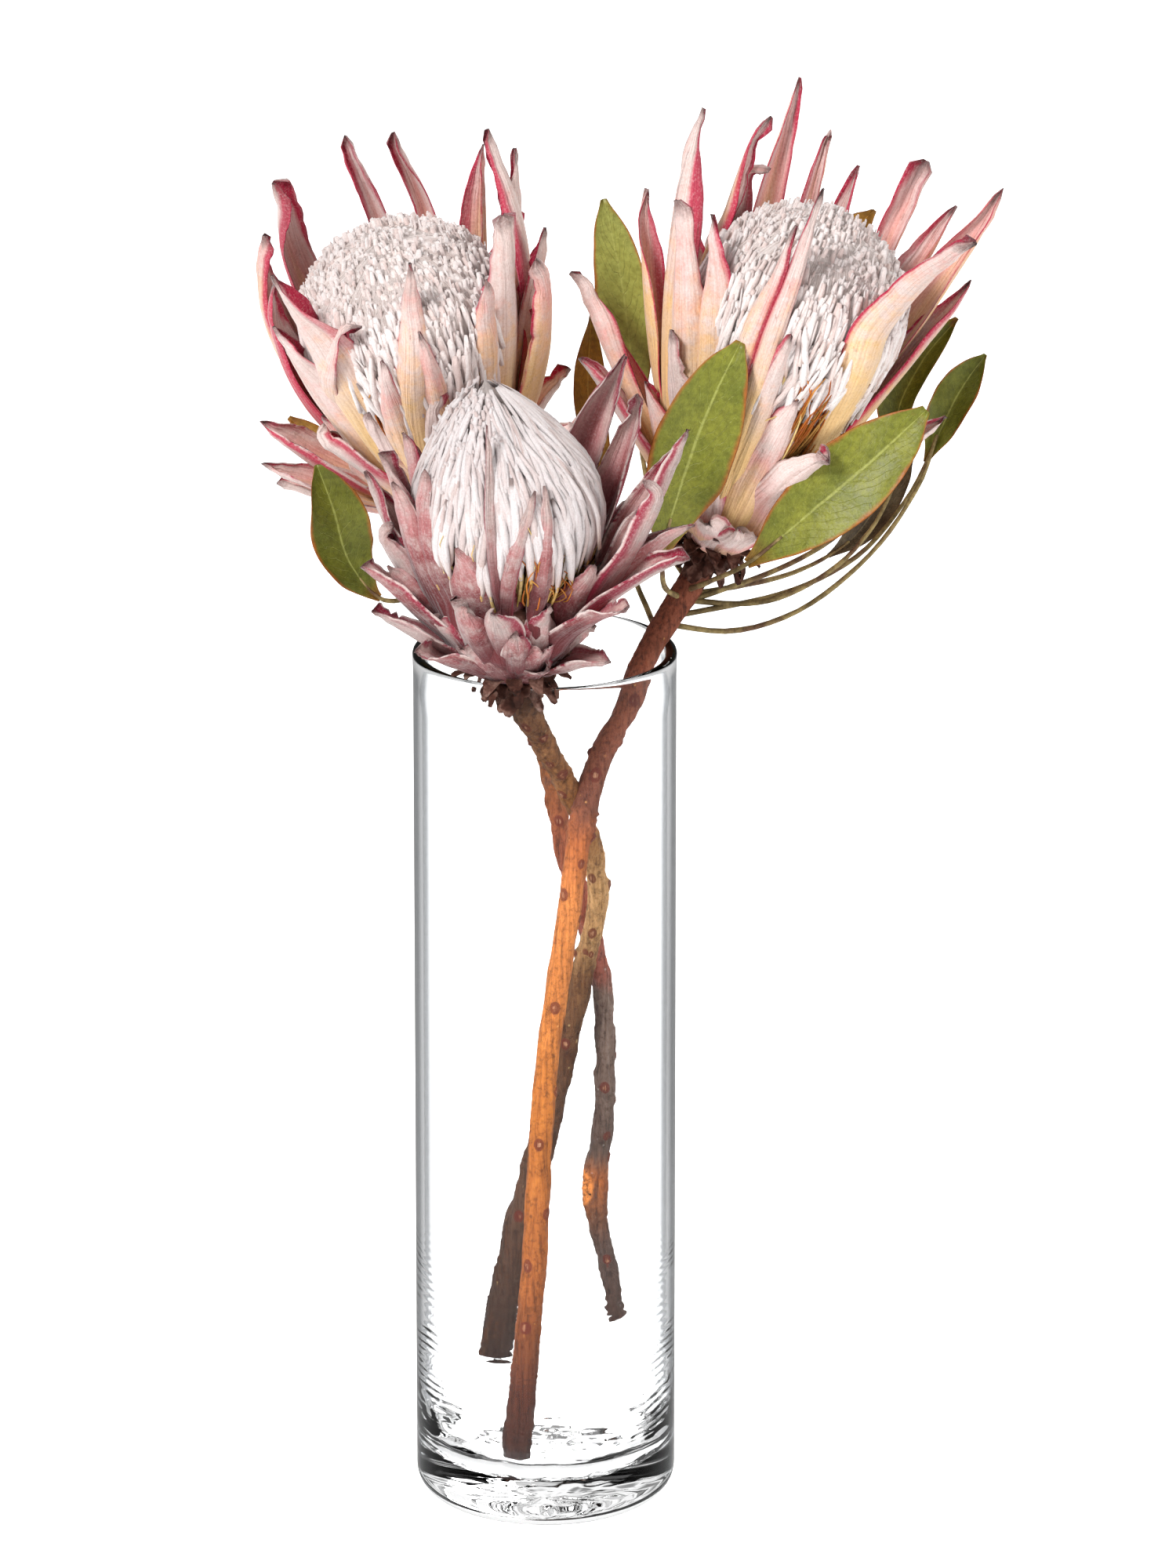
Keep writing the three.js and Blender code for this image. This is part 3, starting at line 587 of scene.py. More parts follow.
def vase_ripple(x, y, z):
    """How far the hand-made glass swells or sinks in rings on its lower inner wall."""
    turn = Vector((x, y, 0)).normalized()
    drift = lump(turn.x * 1.6, turn.y * 1.6, z * 0.03)
    patch = lump(turn.x * 4.0, turn.y * 4.0, z * 0.07)
    rings = sin(tau * (z + 5 * drift) / RIPPLE_PITCH)
    return (1 - smooth(0.35 * RIPPLE_TOP, RIPPLE_TOP, z)) * RIPPLE_DEPTH * rings * (0.45 + 0.8 * patch)


def make_vase():
    profile = vase_profile()
    bpy.ops.object.select_all(action="DESELECT")
    bpy.ops.mesh.primitive_circle_add(vertices=len(profile), radius=0.05)
    vase = bpy.context.active_object
    vase.name = "vase_glass"
    mesh = vase.data
    for vertex, (radius, height) in zip(mesh.vertices, profile):
        vertex.co = Vector((radius, 0, height)) * MM
    bpy.ops.object.mode_set(mode="EDIT")
    bpy.ops.mesh.select_all(action="SELECT")
    bpy.ops.mesh.spin(steps=VASE_STEPS, angle=tau, center=(0, 0, 0), axis=(0, 0, 1))
    bpy.ops.mesh.select_all(action="SELECT")
    bpy.ops.mesh.remove_doubles(threshold=0.01 * MM)
    bpy.ops.mesh.select_all(action="DESELECT")
    bpy.ops.mesh.select_interior_faces()
    bpy.ops.mesh.delete(type="FACE")
    bpy.ops.mesh.select_all(action="SELECT")
    bpy.ops.mesh.normals_make_consistent(inside=False)
    bpy.ops.object.mode_set(mode="OBJECT")
    for vertex in mesh.vertices:
        x, y, z = vertex.co / MM
        place = Vector((x, y, z))
        radius = hypot(x, y)
        if z < PUNT_HEIGHT + 0.1 and radius < PUNT_RADIUS - 1:
            dent = noise.noise(Vector((x, y, 7.0)) * 0.2) + 0.6 * noise.noise(Vector((x, y, 9.0)) * 0.45)
            dent = max(-PUNT_SINKS * z, PUNT_DENTS * dent)
            vertex.co.z += dent * (1 - smooth(0.8, 1, radius / PUNT_RADIUS)) * MM
        on_inner_skin = z > VASE_FLOOR - 1 and radius < VASE_RADIUS - VASE_WALL + 0.5
        if not on_inner_skin or z > VASE_HEIGHT - 2 * RIM_DEPTH:
            continue
        steep = smooth(VASE_FLOOR, VASE_FLOOR + FLOOR_FILLET, z)
        swell = noise.noise(place * 0.13) + 0.7 * noise.noise(place * 0.33)
        swell *= LUMP_DEPTH * (1 - smooth(VASE_FLOOR, 2.4 * FLOOR_FILLET, z))
        if radius > 1:
            swell = vase_ripple(x, y, z) + swell
            vertex.co.x += swell * steep * x / radius * MM
            vertex.co.y += swell * steep * y / radius * MM
        vertex.co.z += swell * (1 - steep) * MM
    dressed(vase, glass_material(), "glass", "vase")


# Stems: the centre line from the bloom down to the cut end, the radius along it, the scars and
# torn knots as (share of the length, azimuth, size, how far it stands out), and the rings that
# run round the stem as (share of the length, how far they stand out)

STEMS = {
    "right": {
        "line": [(75, 25, 448.5), (63, 20, 429), (48, 9, 407), (35, 3, 378), (24, -4, 356), (16, -13, 326),
            (12, -14, 296), (7, -15, 262), (2.5, -17, 230), (-1, -20, 196), (-3, -22, 160), (-5, -26, 122),
            (-9, -30, 76), (-14, -31.5, 20)],
        "radii": [(0, 8), (0.03, 6.6), (0.07, 6), (0.26, 5.4), (0.3, 6.3), (0.34, 5.3), (0.6, 5.3),
            (0.9, 6.2), (1, 7)],
        "scars": [(0.165, 285, 2.2, 0.6), (0.215, 345, 1.4, 1.1), (0.255, 275, 2.6, 0.5),
            (0.235, 200, 1.2, 2.4), (0.318, 345, 1.8, 1.6), (0.345, 300, 1.8, 0.6), (0.38, 225, 2.4, 0.6),
            (0.405, 345, 1.6, 1.0), (0.5, 272, 2.3, 0.6), (0.59, 345, 2.0, 0.9), (0.645, 262, 2.2, 0.6),
            (0.72, 322, 2.3, 0.7), (0.775, 238, 2.3, 0.6), (0.84, 255, 2.6, 0.4)],
        "rings": [(0.293, 1.3), (0.301, 0.9), (0.309, 1.5), (0.317, 0.9)],
        "knots": [],
    },
    "front": {
        "line": [(-14.2, -45.6, 409.6), (-9, -40, 396), (-1, -27, 376), (9, -9, 350), (18, 1, 326),
            (23, 7, 304), (24, 10, 282), (19, 14, 256), (12, 18, 224), (5, 22, 190), (-3, 27, 155),
            (-12, 32, 118), (-19, 36, 82), (-24.5, 39.2, 50)],
        "radii": [(0, 7.6), (0.05, 6.4), (0.12, 5.3), (0.4, 4.5), (0.5, 5.8), (0.7, 6.5), (0.86, 7.4),
            (1, 8.1)],
        "scars": [(0.06, 250, 2.4, 1.2), (0.09, 300, 2.2, 1.0), (0.1, 192, 1.8, 2.2), (0.14, 260, 2.2, 0.9),
            (0.165, 295, 2.4, 1.0), (0.2, 240, 2.2, 1.1), (0.24, 285, 2.0, 0.9), (0.335, 245, 1.9, 0.6),
            (0.35, 0, 1.6, 2.2), (0.41, 265, 2.0, 0.7), (0.436, 250, 1.2, 0.6), (0.438, 285, 1.3, 0.6),
            (0.445, 188, 1.3, 3.2), (0.56, 262, 2.2, 0.5), (0.7, 190, 2.4, 1.0), (0.8, 250, 2.2, 0.6)],
        "rings": [(0.47, 0.35), (0.868, 0.7), (0.876, 0.5), (0.884, 0.6), (0.03, 0.8)],
        "knots": [],
    },
    "left": {
        "line": [(-36.9, 58.2, 453.2), (-34, 55, 440), (-24, 46, 418), (-15, 44, 400), (-6, 40, 374),
            (0, 34, 350), (5, 28, 326), (11, 24, 300), (19, 26, 272), (26, 28, 241), (28, 30, 212),
            (28, 31, 181), (25, 32, 150), (24, 33, 124), (29, 34, 100), (34, 35.6, 70)],
        "radii": [(0, 7.4), (0.05, 5), (0.1, 4), (0.35, 4), (0.42, 5), (0.8, 5), (0.84, 6.2), (0.88, 4.4),
            (1, 4.1)],
        "scars": [(0.265, 188, 1.4, 2.6), (0.34, 186, 1.8, 2.2), (0.365, 268, 2.0, 0.6),
            (0.3, 262, 1.8, 0.6), (0.665, 0, 1.5, 1.3), (0.685, 182, 1.6, 1.4), (0.7, 265, 2.2, 0.6),
            (0.72, 0, 1.4, 1.0), (0.76, 298, 1.8, 0.6), (0.79, 350, 1.6, 0.8), (0.92, 275, 2.0, 0.5)],
        "rings": [(0.63, 0.4), (0.865, 0.5)],
        "knots": [(0.828, 200, 5.0, 2.0)],
    },
}
STEM_MASTER = rod_master(26, 75, 4)
SCAR_TALLNESS = 1.3
KNOT_TALLNESS = 1.8
BARK_DARK = (84, 52, 40)
BARK_TAN = (206, 166, 112)


def bark_relief(place, rough):
    """Height of the bark over the stem's round surface."""
    cracks = noise.noise(Vector((place.x * 0.55, place.y * 0.55, place.z * 0.05)))
    lumps = noise.noise(place * 0.075)
    nicks = abs(noise.noise(place * 0.3))
    return rough * (0.6 * cracks + 0.7 * lumps - 0.5 * nicks)


def make_stem(name, material, slot, rough):
    """A stem laid along its line, with leaf scars, nubs, rings and a torn knot where it has them."""
    stem = STEMS[name]
    line = Line(stem["line"])
    heap = Heap()
    marks = []

    def nearness(z, turn, radius, mark, tallness):
        """How near a place of the bark is to a scar or knot: 1 at its middle, and 0 far away."""
        at, azimuth, size, _ = mark
        rise = (z - at) * line.length / (tallness * size)
        swing = radians((turn - azimuth + 180) % 360 - 180) * radius / size
        return exp(-(rise * rise + swing * swing)) if abs(rise) < 3 else 0

    def ring(z):
        return (z, *line.laid(z, Vector((1, 0, 0))), eased(stem["radii"], z))

    def skin(ring, x, y):
        z, place, side, depth, radius = ring
        direction = side * x + depth * y
        mark = 0.0
        if hypot(x, y) > 0.5:
            turn = degrees(atan2(direction.y, direction.x))
            for scar in stem["scars"]:
                near = nearness(z, turn, radius, scar, SCAR_TALLNESS)
                mark = max(mark, near)
                radius += scar[3] * near * (1 - 0.6 * near ** 6)
            for at, stand in stem["rings"]:
                radius += stand * exp(-((z - at) * line.length / 1.1) ** 2)
            for knot in stem["knots"]:
                near = nearness(z, turn, radius, knot, KNOT_TALLNESS)
                radius += knot[3] * near * (1 + 0.6 * noise.noise(place * 0.5 + direction * 2))
                mark = min(mark, -near) if near > 0.25 else mark
            radius += bark_relief(place + direction * radius, rough)
        if z > 0.997:
            radius *= 0.86
        marks.append(mark)
        return place + direction * radius

    heap.add(STEM_MASTER, ring, skin)
    heap.fields["kind"] = marks
    heap.piece(f"stem_{name}_bark", material, slot, f"stem_{name}")


def make_stems():
    make_stem("right", bark_material("bark_orange", [
        (0.0, BARK_DARK), (0.05, (168, 98, 72)), (0.2, (150, 88, 64)), (0.29, (124, 74, 56)),
        (0.33, (190, 110, 58)), (0.38, (222, 142, 74)), (0.6, (196, 120, 48)), (0.8, (164, 96, 46)),
        (0.9, (98, 54, 38)), (1.0, (50, 32, 28)),
    ], (214, 150, 84), (150, 70, 34), 0.25), "stem_orange", 0.9)
    make_stem("front", bark_material("bark_tan", [
        (0.0, BARK_DARK), (0.05, (130, 92, 62)), (0.16, (152, 104, 60)), (0.26, (160, 108, 60)),
        (0.34, BARK_TAN), (0.4, BARK_TAN), (0.47, (124, 88, 54)), (0.6, (98, 68, 46)), (0.8, (92, 68, 54)),
        (1.0, (56, 40, 34)),
    ], (190, 160, 110), (92, 58, 36), 0.55), "stem_tan", 1.7)
    make_stem("left", bark_material("bark_red_grey", [
        (0.0, BARK_DARK), (0.1, (122, 76, 44)), (0.3, (150, 92, 48)), (0.45, (168, 92, 70)),
        (0.55, (170, 100, 84)), (0.58, (140, 122, 112)), (0.78, (104, 88, 80)), (0.82, (178, 104, 52)),
        (0.86, (128, 84, 58)), (0.9, (96, 80, 74)), (1.0, (90, 70, 62)),
    ], (170, 158, 148), (84, 62, 54), 0.5), "stem_red_grey", 1.6)


# Blooms. A placed bract is (azimuth, root height, length, lean at the root, lean at the tip,
# sideways lean, width, tip curl, kind of tip): azimuth 0 is +X and 90 is +Y round the bloom's
# own axis, a lean is in degrees away from that axis, and a tip curl adds to the lean near the tip.
# One that stops at its width has a sharp tip without a curl. A part ring of bracts is (how many,
# root height, lengths, leans at root and tip, width, first azimuth, last azimuth). The florets gape
# at (azimuth, height), and many of them are worn brown at (azimuth, height).

CUP_PROFILE = [(-4, 8), (0, 12), (8, 19), (20, 26), (34, 30), (46, 31)]
CUP_RADII = [(-4, 6.5), (-3, 8.2), (0, 11.4), (8, 18.4), (20, 25.4), (34, 29.4), (46, 30.4)]
CUP_FROM = -4
CUP_UNTIL = 45
CUP_TOP = 46
SCALES = 44
SHORT_BRACTS = 16
GOLDEN_TURN = 137.508
SEED_STEP = 0.618
ROOT_SINK = 1.8
BRACT_CLEAR = 1.5
BRACT_EASE = 3
BRACT_SETTLES = 8
BRACT_TWIST = 14
BRACT_WALK = 48
BRACT_CURL_FROM = 0.72
BRACT_HOOK_FROM = 0.85
HIGH_GOLD = 0.3
BRACT_OUTLINE = [(0, 0.5), (0.1, 0.68), (0.25, 0.88), (0.42, 1), (0.58, 0.95), (0.72, 0.78), (0.82, 0.58),
                 (0.9, 0.38), (0.96, 0.2), (1, 0.06)]

BLOOMS = {
    "front": {
        "base": (-13, -45, 414),
        "axis": (-0.04, -0.17, 0.98),
        "tall": 1.0,
        "gap": (304, 64),
        "placed": [
            (214, 12, 104, 26, -4, -4, 22), (196, 12, 100, 36, 2, 2, 20),
            (182, 22, 98, 23, 12, 4, 17, 0, "blunt"), (168, 22, 88, 42, 10, 8, 17),
            (186, 10, 82, 42, 20, -6, 18, 10, "hooked"), (200, 8, 76, 44, 38, -10, 18, 15, "blunt"),
            (194, 3, 64, 60, 46, 0, 18, 10, "torn"), (214, 0, 48, 62, 52, -4, 22, 15, "torn"),
            (258, 6, 80, 26, -2, -16, 30), (236, 4, 56, 36, 20, -8, 24, 0, "blunt"),
            (246, -2, 40, 48, 38, -28, 27, 0, "torn"), (292, 4, 50, 34, 16, 12, 20),
            (300, -2, 28, 54, 56, 0, 18, 0, "blunt"), (334, 0, 42, 66, 72, -6, 18),
            (262, 20, 90, 12, -10, 18, 9), (292, 18, 92, 14, -8, 4, 9),
            (320, 10, 70, 38, 62, -4, 20, 0, "torn"), (336, 12, 90, 38, 58, 4, 20, 15, "blunt"),
            (350, 14, 94, 40, 46, -8, 19, 25, "sharp"), (340, 20, 104, 44, 18, 2, 18, 0, "hooked"),
            (0, 20, 114, 42, 20, 2, 20, 10, "sharp"), (38, 26, 118, 46, -14, -26, 16, 0, "torn"),
            (60, 28, 130, 40, -20, -32, 18), (128, 30, 92, 34, -22, -6, 18), (262, 34, 104, 8, -8, -3, 4.5),
        ],
        "rings": [
            (4, 32, (76, 92), (24, 2), 20, 66, 160),
            (4, 16, (62, 84), (44, 34), 22, 10, 160),
            (3, 5, (34, 48), (58, 60), 22, 20, 170),
        ],
        "tuft": "closed",
    },
    "left": {
        "base": (-38, 57, 457),
        "axis": (-0.225, -0.308, 0.924),
        "tall": 0.98,
        "gap": (232, 88),
        "worn": (350, 140),
        "placed": [
            (165, 30, 148, 48, -26, 5, 19, 0, "blunt"), (134, 34, 160, 49, -36, 11, 17, 0, "strip"),
            (174, 24, 134, 46, -22, 10, 20), (209, 18, 128, 26, 8, 0, 26),
            (192, 30, 130, 20, -22, 38, 18, 30, "hooked"), (262, 28, 142, 8, 2, 18, 17),
            (318, 28, 120, 8, 22, 7, 18), (338, 28, 140, 22, 5, 9, 26, 0, "torn"),
            (7, 32, 160, 34, -12, 17, 19, 0, "blunt"), (20, 34, 142, 24, 12, 7, 17),
            (56, 36, 142, 22, 2, -18, 15), (356, 22, 128, 38, 6, -9, 22, 0, "torn"),
            (10, 28, 122, 28, 16, -6, 17), (96, 38, 143, 35, -10, 6, 10, 0, "strip"),
            (81, 36, 145, 58, -23, 4, 10, 0, "strip"), (188, 10, 88, 56, 28, -6, 22),
            (196, 4, 88, 54, 48, -4, 19), (188, -1, 80, 62, 56, -5, 18, 0, "blunt"),
            (213, 10, 82, 31, 30, -4, 21, 15, "hooked"), (238, 6, 90, 26, 8, 4, 23),
            (262, 10, 94, 20, 2, 18, 24, 0, "torn"), (290, 8, 78, 28, 16, 6, 23, 0, "blunt"),
            (255, 16, 112, 22, 4, 6, 16), (285, 18, 118, 20, 4, 0, 16), (230, 34, 142, 18, 7, -9, 28),
        ],
        "rings": [
            (6, 22, (86, 112), (38, 24), 23, 16, 160),
            (5, 8, (52, 70), (52, 52), 22, 330, 520),
        ],
        "tuft": "open",
    },
    "right": {
        "base": (75, 25, 453),
        "axis": (0.329, -0.1215, 0.936),
        "tall": 1.12,
        "gap": (300, 98),
        "worn": (180, 120),
        "placed": [
            (184, 30, 172, 28, 2, -18, 20), (170, 28, 132, 34, 20, -9, 17),
            (209, 24, 146, 26, 8, -18, 21, 0, "blunt"), (148, 36, 144, 17, 4, -8, 18, 20, "hooked"),
            (160, 36, 162, 15, 2, -12, 13, 0, "torn"), (110, 36, 172, 22, 14, -1, 15),
            (90, 36, 162, 22, 16, 4, 9, 20, "hooked"), (53, 36, 156, 22, 16, 7, 14, 0, "strip"),
            (29, 32, 172, 27, 10, -3, 21), (321, 38, 194, 3, 37, -22, 22, 8, "blunt"),
            (5, 33, 129, 23, 25, 28, 18), (40, 32, 150, 25, 13, 2, 17), (256, 24, 176, 18, -6, -4, 9.5),
            (238, 26, 152, 18, -4, 2, 11), (261, 35, 101, -1, 32, 1, 12), (226, 26, 141, 14, 10, -22, 20),
            (174, 16, 116, 46, 40, -4, 20, 0, "blunt"), (185, 10, 94, 46, 50, 6, 19),
            (214, 8, 104, 28, 20, -14, 21, 0, "torn"), (276, 10, 92, 20, 8, 2, 22),
            (303, 4, 86, 26, 34, -4, 25, 0, "blunt"), (329, 8, 60, 28, 16, 6, 21),
            (265, 0, 24, 50, 56, 3, 17, 0, "blunt"), (2, 6, 108, 44, 34, 8, 19),
            (242, 4, 62, 32, 20, -6, 24, 0, "torn"),
        ],
        "rings": [
            (1, 36, (136, 146), (22, 12), 16, 60, 84),
            (3, 24, (90, 116), (34, 24), 23, 94, 152),
            (3, 8, (50, 70), (52, 54), 22, 94, 152),
            (1, 24, (96, 104), (34, 24), 22, 42, 62),
        ],
        "tuft": "open",
    },
}

# Least radius of the bracts that lie on the florets, by height over the bloom's base
EMBRACE = {
    "open": [(66, 38.5), (86, 44), (104, 49), (116, 50.5), (130, 49), (143, 41), (152, 28), (160, 4)],
    "closed": [(62, 40.5), (80, 44), (98, 42), (114, 34), (126, 25), (136, 16), (147, 5), (152, 2)],
}


class Bloom:
    """A bloom's axes, x to the right, y to the back and z the way that it points, and its dome."""

    def __init__(self, name, table):
        self.name = name
        self.table = table
        self.base = Vector(table["base"])
        self.z = Vector(table["axis"]).normalized()
        self.x = (Vector((1, 0, 0)) - self.z * self.z.x).normalized()
        self.y = self.z.cross(self.x)
        dome = [(self.stretched(height), radius) for height, radius in EMBRACE[table["tuft"]]]
        self.embrace = [(height, radius + BRACT_CLEAR) for height, radius in CUP_PROFILE] + dome
        self.dome = [(height, max(0.5, radius - WOOL_CLEAR)) for height, radius in dome]

    def stretched(self, height):
        """A height over the cup, stretched as far as this bloom is taller than the front one."""
        return min(height, CUP_TOP) + max(0, height - CUP_TOP) * self.table["tall"]

    def turned(self, azimuth):
        """The ways outwards and around at an azimuth."""
        angle = radians(azimuth)
        radial = self.x * cos(angle) + self.y * sin(angle)
        return radial, self.y * cos(angle) - self.x * sin(angle)

    def leant(self, radial, lean):
        """The way that leans outwards from the bloom's axis by some degrees."""
        lean = radians(lean)
        return self.z * cos(lean) + radial * sin(lean)

    def place(self, azimuth, radius, height):
        return self.base + self.z * height + self.turned(azimuth)[0] * radius

    def on_dome(self, azimuth, height, stand=0):
        return self.place(azimuth, reading(self.dome, height) + stand, height)


def bracts_of(bloom):
    """The placed bracts, those that stand evenly in part rings, and short ones between their feet."""
    rows = [row + (0, "sharp")[len(row) - 7:] for row in bloom["placed"]]
    tips = ("sharp", "blunt", "torn", "sharp", "hooked")
    for level, (count, height, lengths, leans, width, start, end) in enumerate(bloom["rings"]):
        for i in range(count):
            seed = level * 50 + i
            rows.append((
                (start + (end - start) / count * (i + 0.5) + between(-3, 3, seed)) % 360,
                height + between(-2, 2, seed + 0.3),
                between(*lengths, seed + 0.5),
                leans[0] + between(-5, 5, seed + 0.7),
                leans[1] + between(-6, 6, seed + 0.9),
                between(-8, 8, seed + 0.1),
                width + between(-2, 3, seed + 0.2),
                0,
                tips[(level + i) % len(tips)],
            ))
    for i in range(SHORT_BRACTS):
        seed = i * 3.7 + bloom["base"][0]
        height = between(-2, 24, seed)
        rows.append((
            (i * GOLDEN_TURN) % 360,
            height,
            between(26, 40, seed + 0.1) + 0.9 * max(0, height),
            between(44, 60, seed + 0.2) - 0.8 * height,
            between(34, 58, seed + 0.3) - 1.1 * height,
            between(-14, 14, seed + 0.4),
            between(13, 19, seed + 0.5),
            0,
            tips[(i * 2) % len(tips)],
        ))
    return rows


def bract_line(bloom, row, hook):
    """The middle line of a bract, which lies on the cup and the florets and hooks at its tip."""
    azimuth, height, length, lean_root, lean_tip, sideways, _, curl = row[:8]
    radial, around = bloom.turned(azimuth)
    place = bloom.base + bloom.z * height + radial * (reading(CUP_PROFILE, height) - ROOT_SINK)
    line = [place.copy()]
    for step in range(BRACT_WALK):
        share = (step + 0.5) / BRACT_WALK
        curling = curl * max(0, (share - BRACT_CURL_FROM) / (1 - BRACT_CURL_FROM)) ** 2
        hooked = hook * max(0, (share - BRACT_HOOK_FROM) / (1 - BRACT_HOOK_FROM)) ** 1.3
        along = bloom.leant(radial, lean_root + (lean_tip - lean_root) * share + curling + hooked)
        swing = radians(sideways * share)
        place = place + (along * cos(swing) + around * sin(swing)) * (length / BRACT_WALK)
        rise = place - bloom.base
        up = rise.dot(bloom.z)
        out = rise - bloom.z * up
        reach = out.length
        limit = reading(bloom.embrace, up)
        kept = (reach + limit + hypot(reach - limit, BRACT_EASE)) / 2
        line.append(place + out.normalized() * ((kept - reach) * min(1, (step + 1) / BRACT_SETTLES)))
    return line


BRACT_MASTER = rod_master(20, 38)

# A tip's kind: how wide it stays, how far it turns over, how much its margins roll, how torn it is
TIPS = {
    "sharp": (0.05, 0, 1.5, 0.15),
    "blunt": (0.42, 8, 1.7, 0.35),
    "strip": (0.8, 18, 1.6, 0.25),
    "hooked": (0.3, -130, 1.9, 0.2),
    "torn": (0.42, -10, 1.2, 0.9),
}


def add_bract(heap, bloom, row, kind):
    """One bract: a thick channelled blade of felt whose margins roll in towards its tip."""
    azimuth, height, length, _, _, _, width, _, tip = row
    end, hook, roll_tip, torn = TIPS[tip]
    seed = azimuth * 0.731 + height * 1.37 + length * 0.053
    line = Line(bract_line(bloom, row, hook + between(-22, 14, seed + 0.11)), 2)
    _, around = bloom.turned(azimuth)
    twist = radians(between(-BRACT_TWIST, BRACT_TWIST, azimuth * 0.37 + height))
    twist_tip = radians(between(-50, 50, seed + 0.15))
    outer = max(0.0, kind)
    roll_root = between(0.75, 1.05, seed + 0.2) * (1 - 0.3 * outer)
    roll_middle = between(1.05, 1.5, seed + 0.25) * (1 - 0.4 * outer)
    roll_tip *= between(0.8, 1.15, seed + 0.3)
    uneven = between(-0.3, 0.3, seed + 0.4)
    wave = between(0.4, 1.4, seed + 0.5)
    pitch = between(8, 15, seed + 0.6)
    thickness = between(0.8, 1.05, seed + 0.65)
    crumple = between(0.6, 1.8, seed + 0.7) + 0.5 * outer
    shift = Vector((seed * 3.1, seed * 1.7, 0))

    def ring(z):
        place, along = line.at(z)
        turn = twist * z + twist_tip * smooth(0.7, 1, z)
        across = -(Matrix.Rotation(turn, 3, along) @ square_to(along, around))
        roll = roll_root + (roll_middle - roll_root) * smooth(0, 0.5, z)
        roll += (roll_tip - roll_middle) * smooth(0.6, 0.97, z)
        share = max(eased(BRACT_OUTLINE, z), end * smooth(0.2, 0.5, z))
        share *= sqrt(max(0.04, 1 - max(0, (z - 0.965) / 0.035) ** 2))
        flat = min(roll, 1.45)
        half = width / 2 * share * flat / sin(flat)
        thick = thickness * (1 - 0.45 * z) * min(1, 0.3 + 4 * (1 - z) ** 0.7)
        return z, place, across, along.cross(across), half, roll, thick

    def skin(ring, x, y):
        z, place, across, outward, half, roll, thick = ring
        tear = lump(copysign(2.5, x), z * 24, 0, shift)
        half *= 1 - torn * max(0.0, tear) * abs(x) * smooth(0.5, 0.92, z)
        roll *= 1 + uneven * x
        angle = x * roll * (1 + 0.25 * x * x)
        reach = half / roll
        thick = thick * copysign(abs(y) ** 0.6, y)
        crease = lump(x * 2.6, z * 2.6, 5.0, shift) + 0.5 * lump(x * 6.0, z * 5.0, 9.0, shift)
        keel = 0.6 * exp(-(x / 0.25) ** 2)
        lift = -reach * (1 - cos(angle)) + (0.8 * crease + keel) * (1 - x * x)
        lift += wave * abs(x) ** 3 * sin(pitch * z + 2 * x + seed) * smooth(0.1, 0.4, z)
        crush = crumple * smooth(0.72, 1, z)
        lift += crush * lump(x * 1.5, z * 19, 3.0, shift)
        slip = crush * lump(x * 1.5, z * 15, 13.0, shift)
        place = place + across * ((reach + thick) * sin(angle) + slip)
        return place + outward * (lift + thick * cos(angle))

    heap.add(BRACT_MASTER, ring, skin, tone=draw(seed + 0.9), kind=kind)


SCALE_MASTER = rod_master(12, 8)


def add_scale(heap, bloom, azimuth, height, length, lean, width, seed):
    """A short withered scale on the foot of the cup."""
    radial, around = bloom.turned(azimuth)
    root = bloom.place(azimuth, reading(CUP_PROFILE, height) - 1.0, height)
    middle = root + bloom.leant(radial, lean) * length * 0.5
    last = bloom.leant(radial, lean + between(-40, 50, seed)) + around * between(-0.4, 0.4, seed + 0.1)
    line = Line([root, middle, middle + last * length * 0.5], 4)

    def ring(z):
        half = width / 2 * eased([(0, 0.9), (0.4, 1), (0.8, 0.7), (1, 0.25)], z)
        return (z, *line.laid(z, -around), half)

    def skin(ring, x, y):
        z, place, across, outward, half = ring
        half *= 1 - 0.5 * lump(x, z * 5, seed)
        lift = -0.35 * half * x * x + 1.3 * lump(x * 2, z * 4, seed * 2)
        return place + across * half * x + outward * (lift + 0.55 * y)

    heap.add(SCALE_MASTER, ring, skin)


def make_cup(bloom, material):
    """The woody cup under the bracts, with the withered scales at its foot."""
    heap = Heap()

    def ring(z):
        height = CUP_FROM + (CUP_UNTIL - CUP_FROM) * z
        return height, reading(CUP_RADII, height)

    def skin(ring, x, y):
        height, radius = ring
        bumps = 0.6 * lump(x * 9, y * 9, height * 0.2)
        return bloom.place(degrees(atan2(y, x)), (radius + bumps) * hypot(x, y), height)

    heap.add(rod_master(40, 26), ring, skin)
    for i in range(SCALES):
        add_scale(
            heap, bloom, i * 137.5, between(-5, 6, i + 3.1), between(8, 18, i + 3.3),
            between(70, 160, i + 3.5), between(5, 11, i + 3.7), i * 0.77 + len(bloom.name),
        )
    heap.piece(f"cup_{bloom.name}", material, "bract")


# Florets

FLORET_MASTER = rod_master(4, 8)
FLAME_MASTER = rod_master(6, 8)
FUR_MASTER = rod_master(5, 7)
COLUMN_MASTER = rod_master(6, 5)
BRISTLE_MASTER = rod_master(4, 3)
WOOL_CLEAR = 2.6
# Bristles of an open bloom: how many, their master, their half widths, how far they stand out of
# their clump, how much they lean and swing each on its own, and how hard the clump pulls them in
OPEN_BRISTLES = [
    (1400, COLUMN_MASTER, (1.25, 2.0), (-3.2, 0.8), 5, 0.08, 0.2),
    (1000, BRISTLE_MASTER, (0.6, 0.95), (-1.6, 1.4), 8, 0.14, 0.3),
]
OPEN_CLUMPS = 480
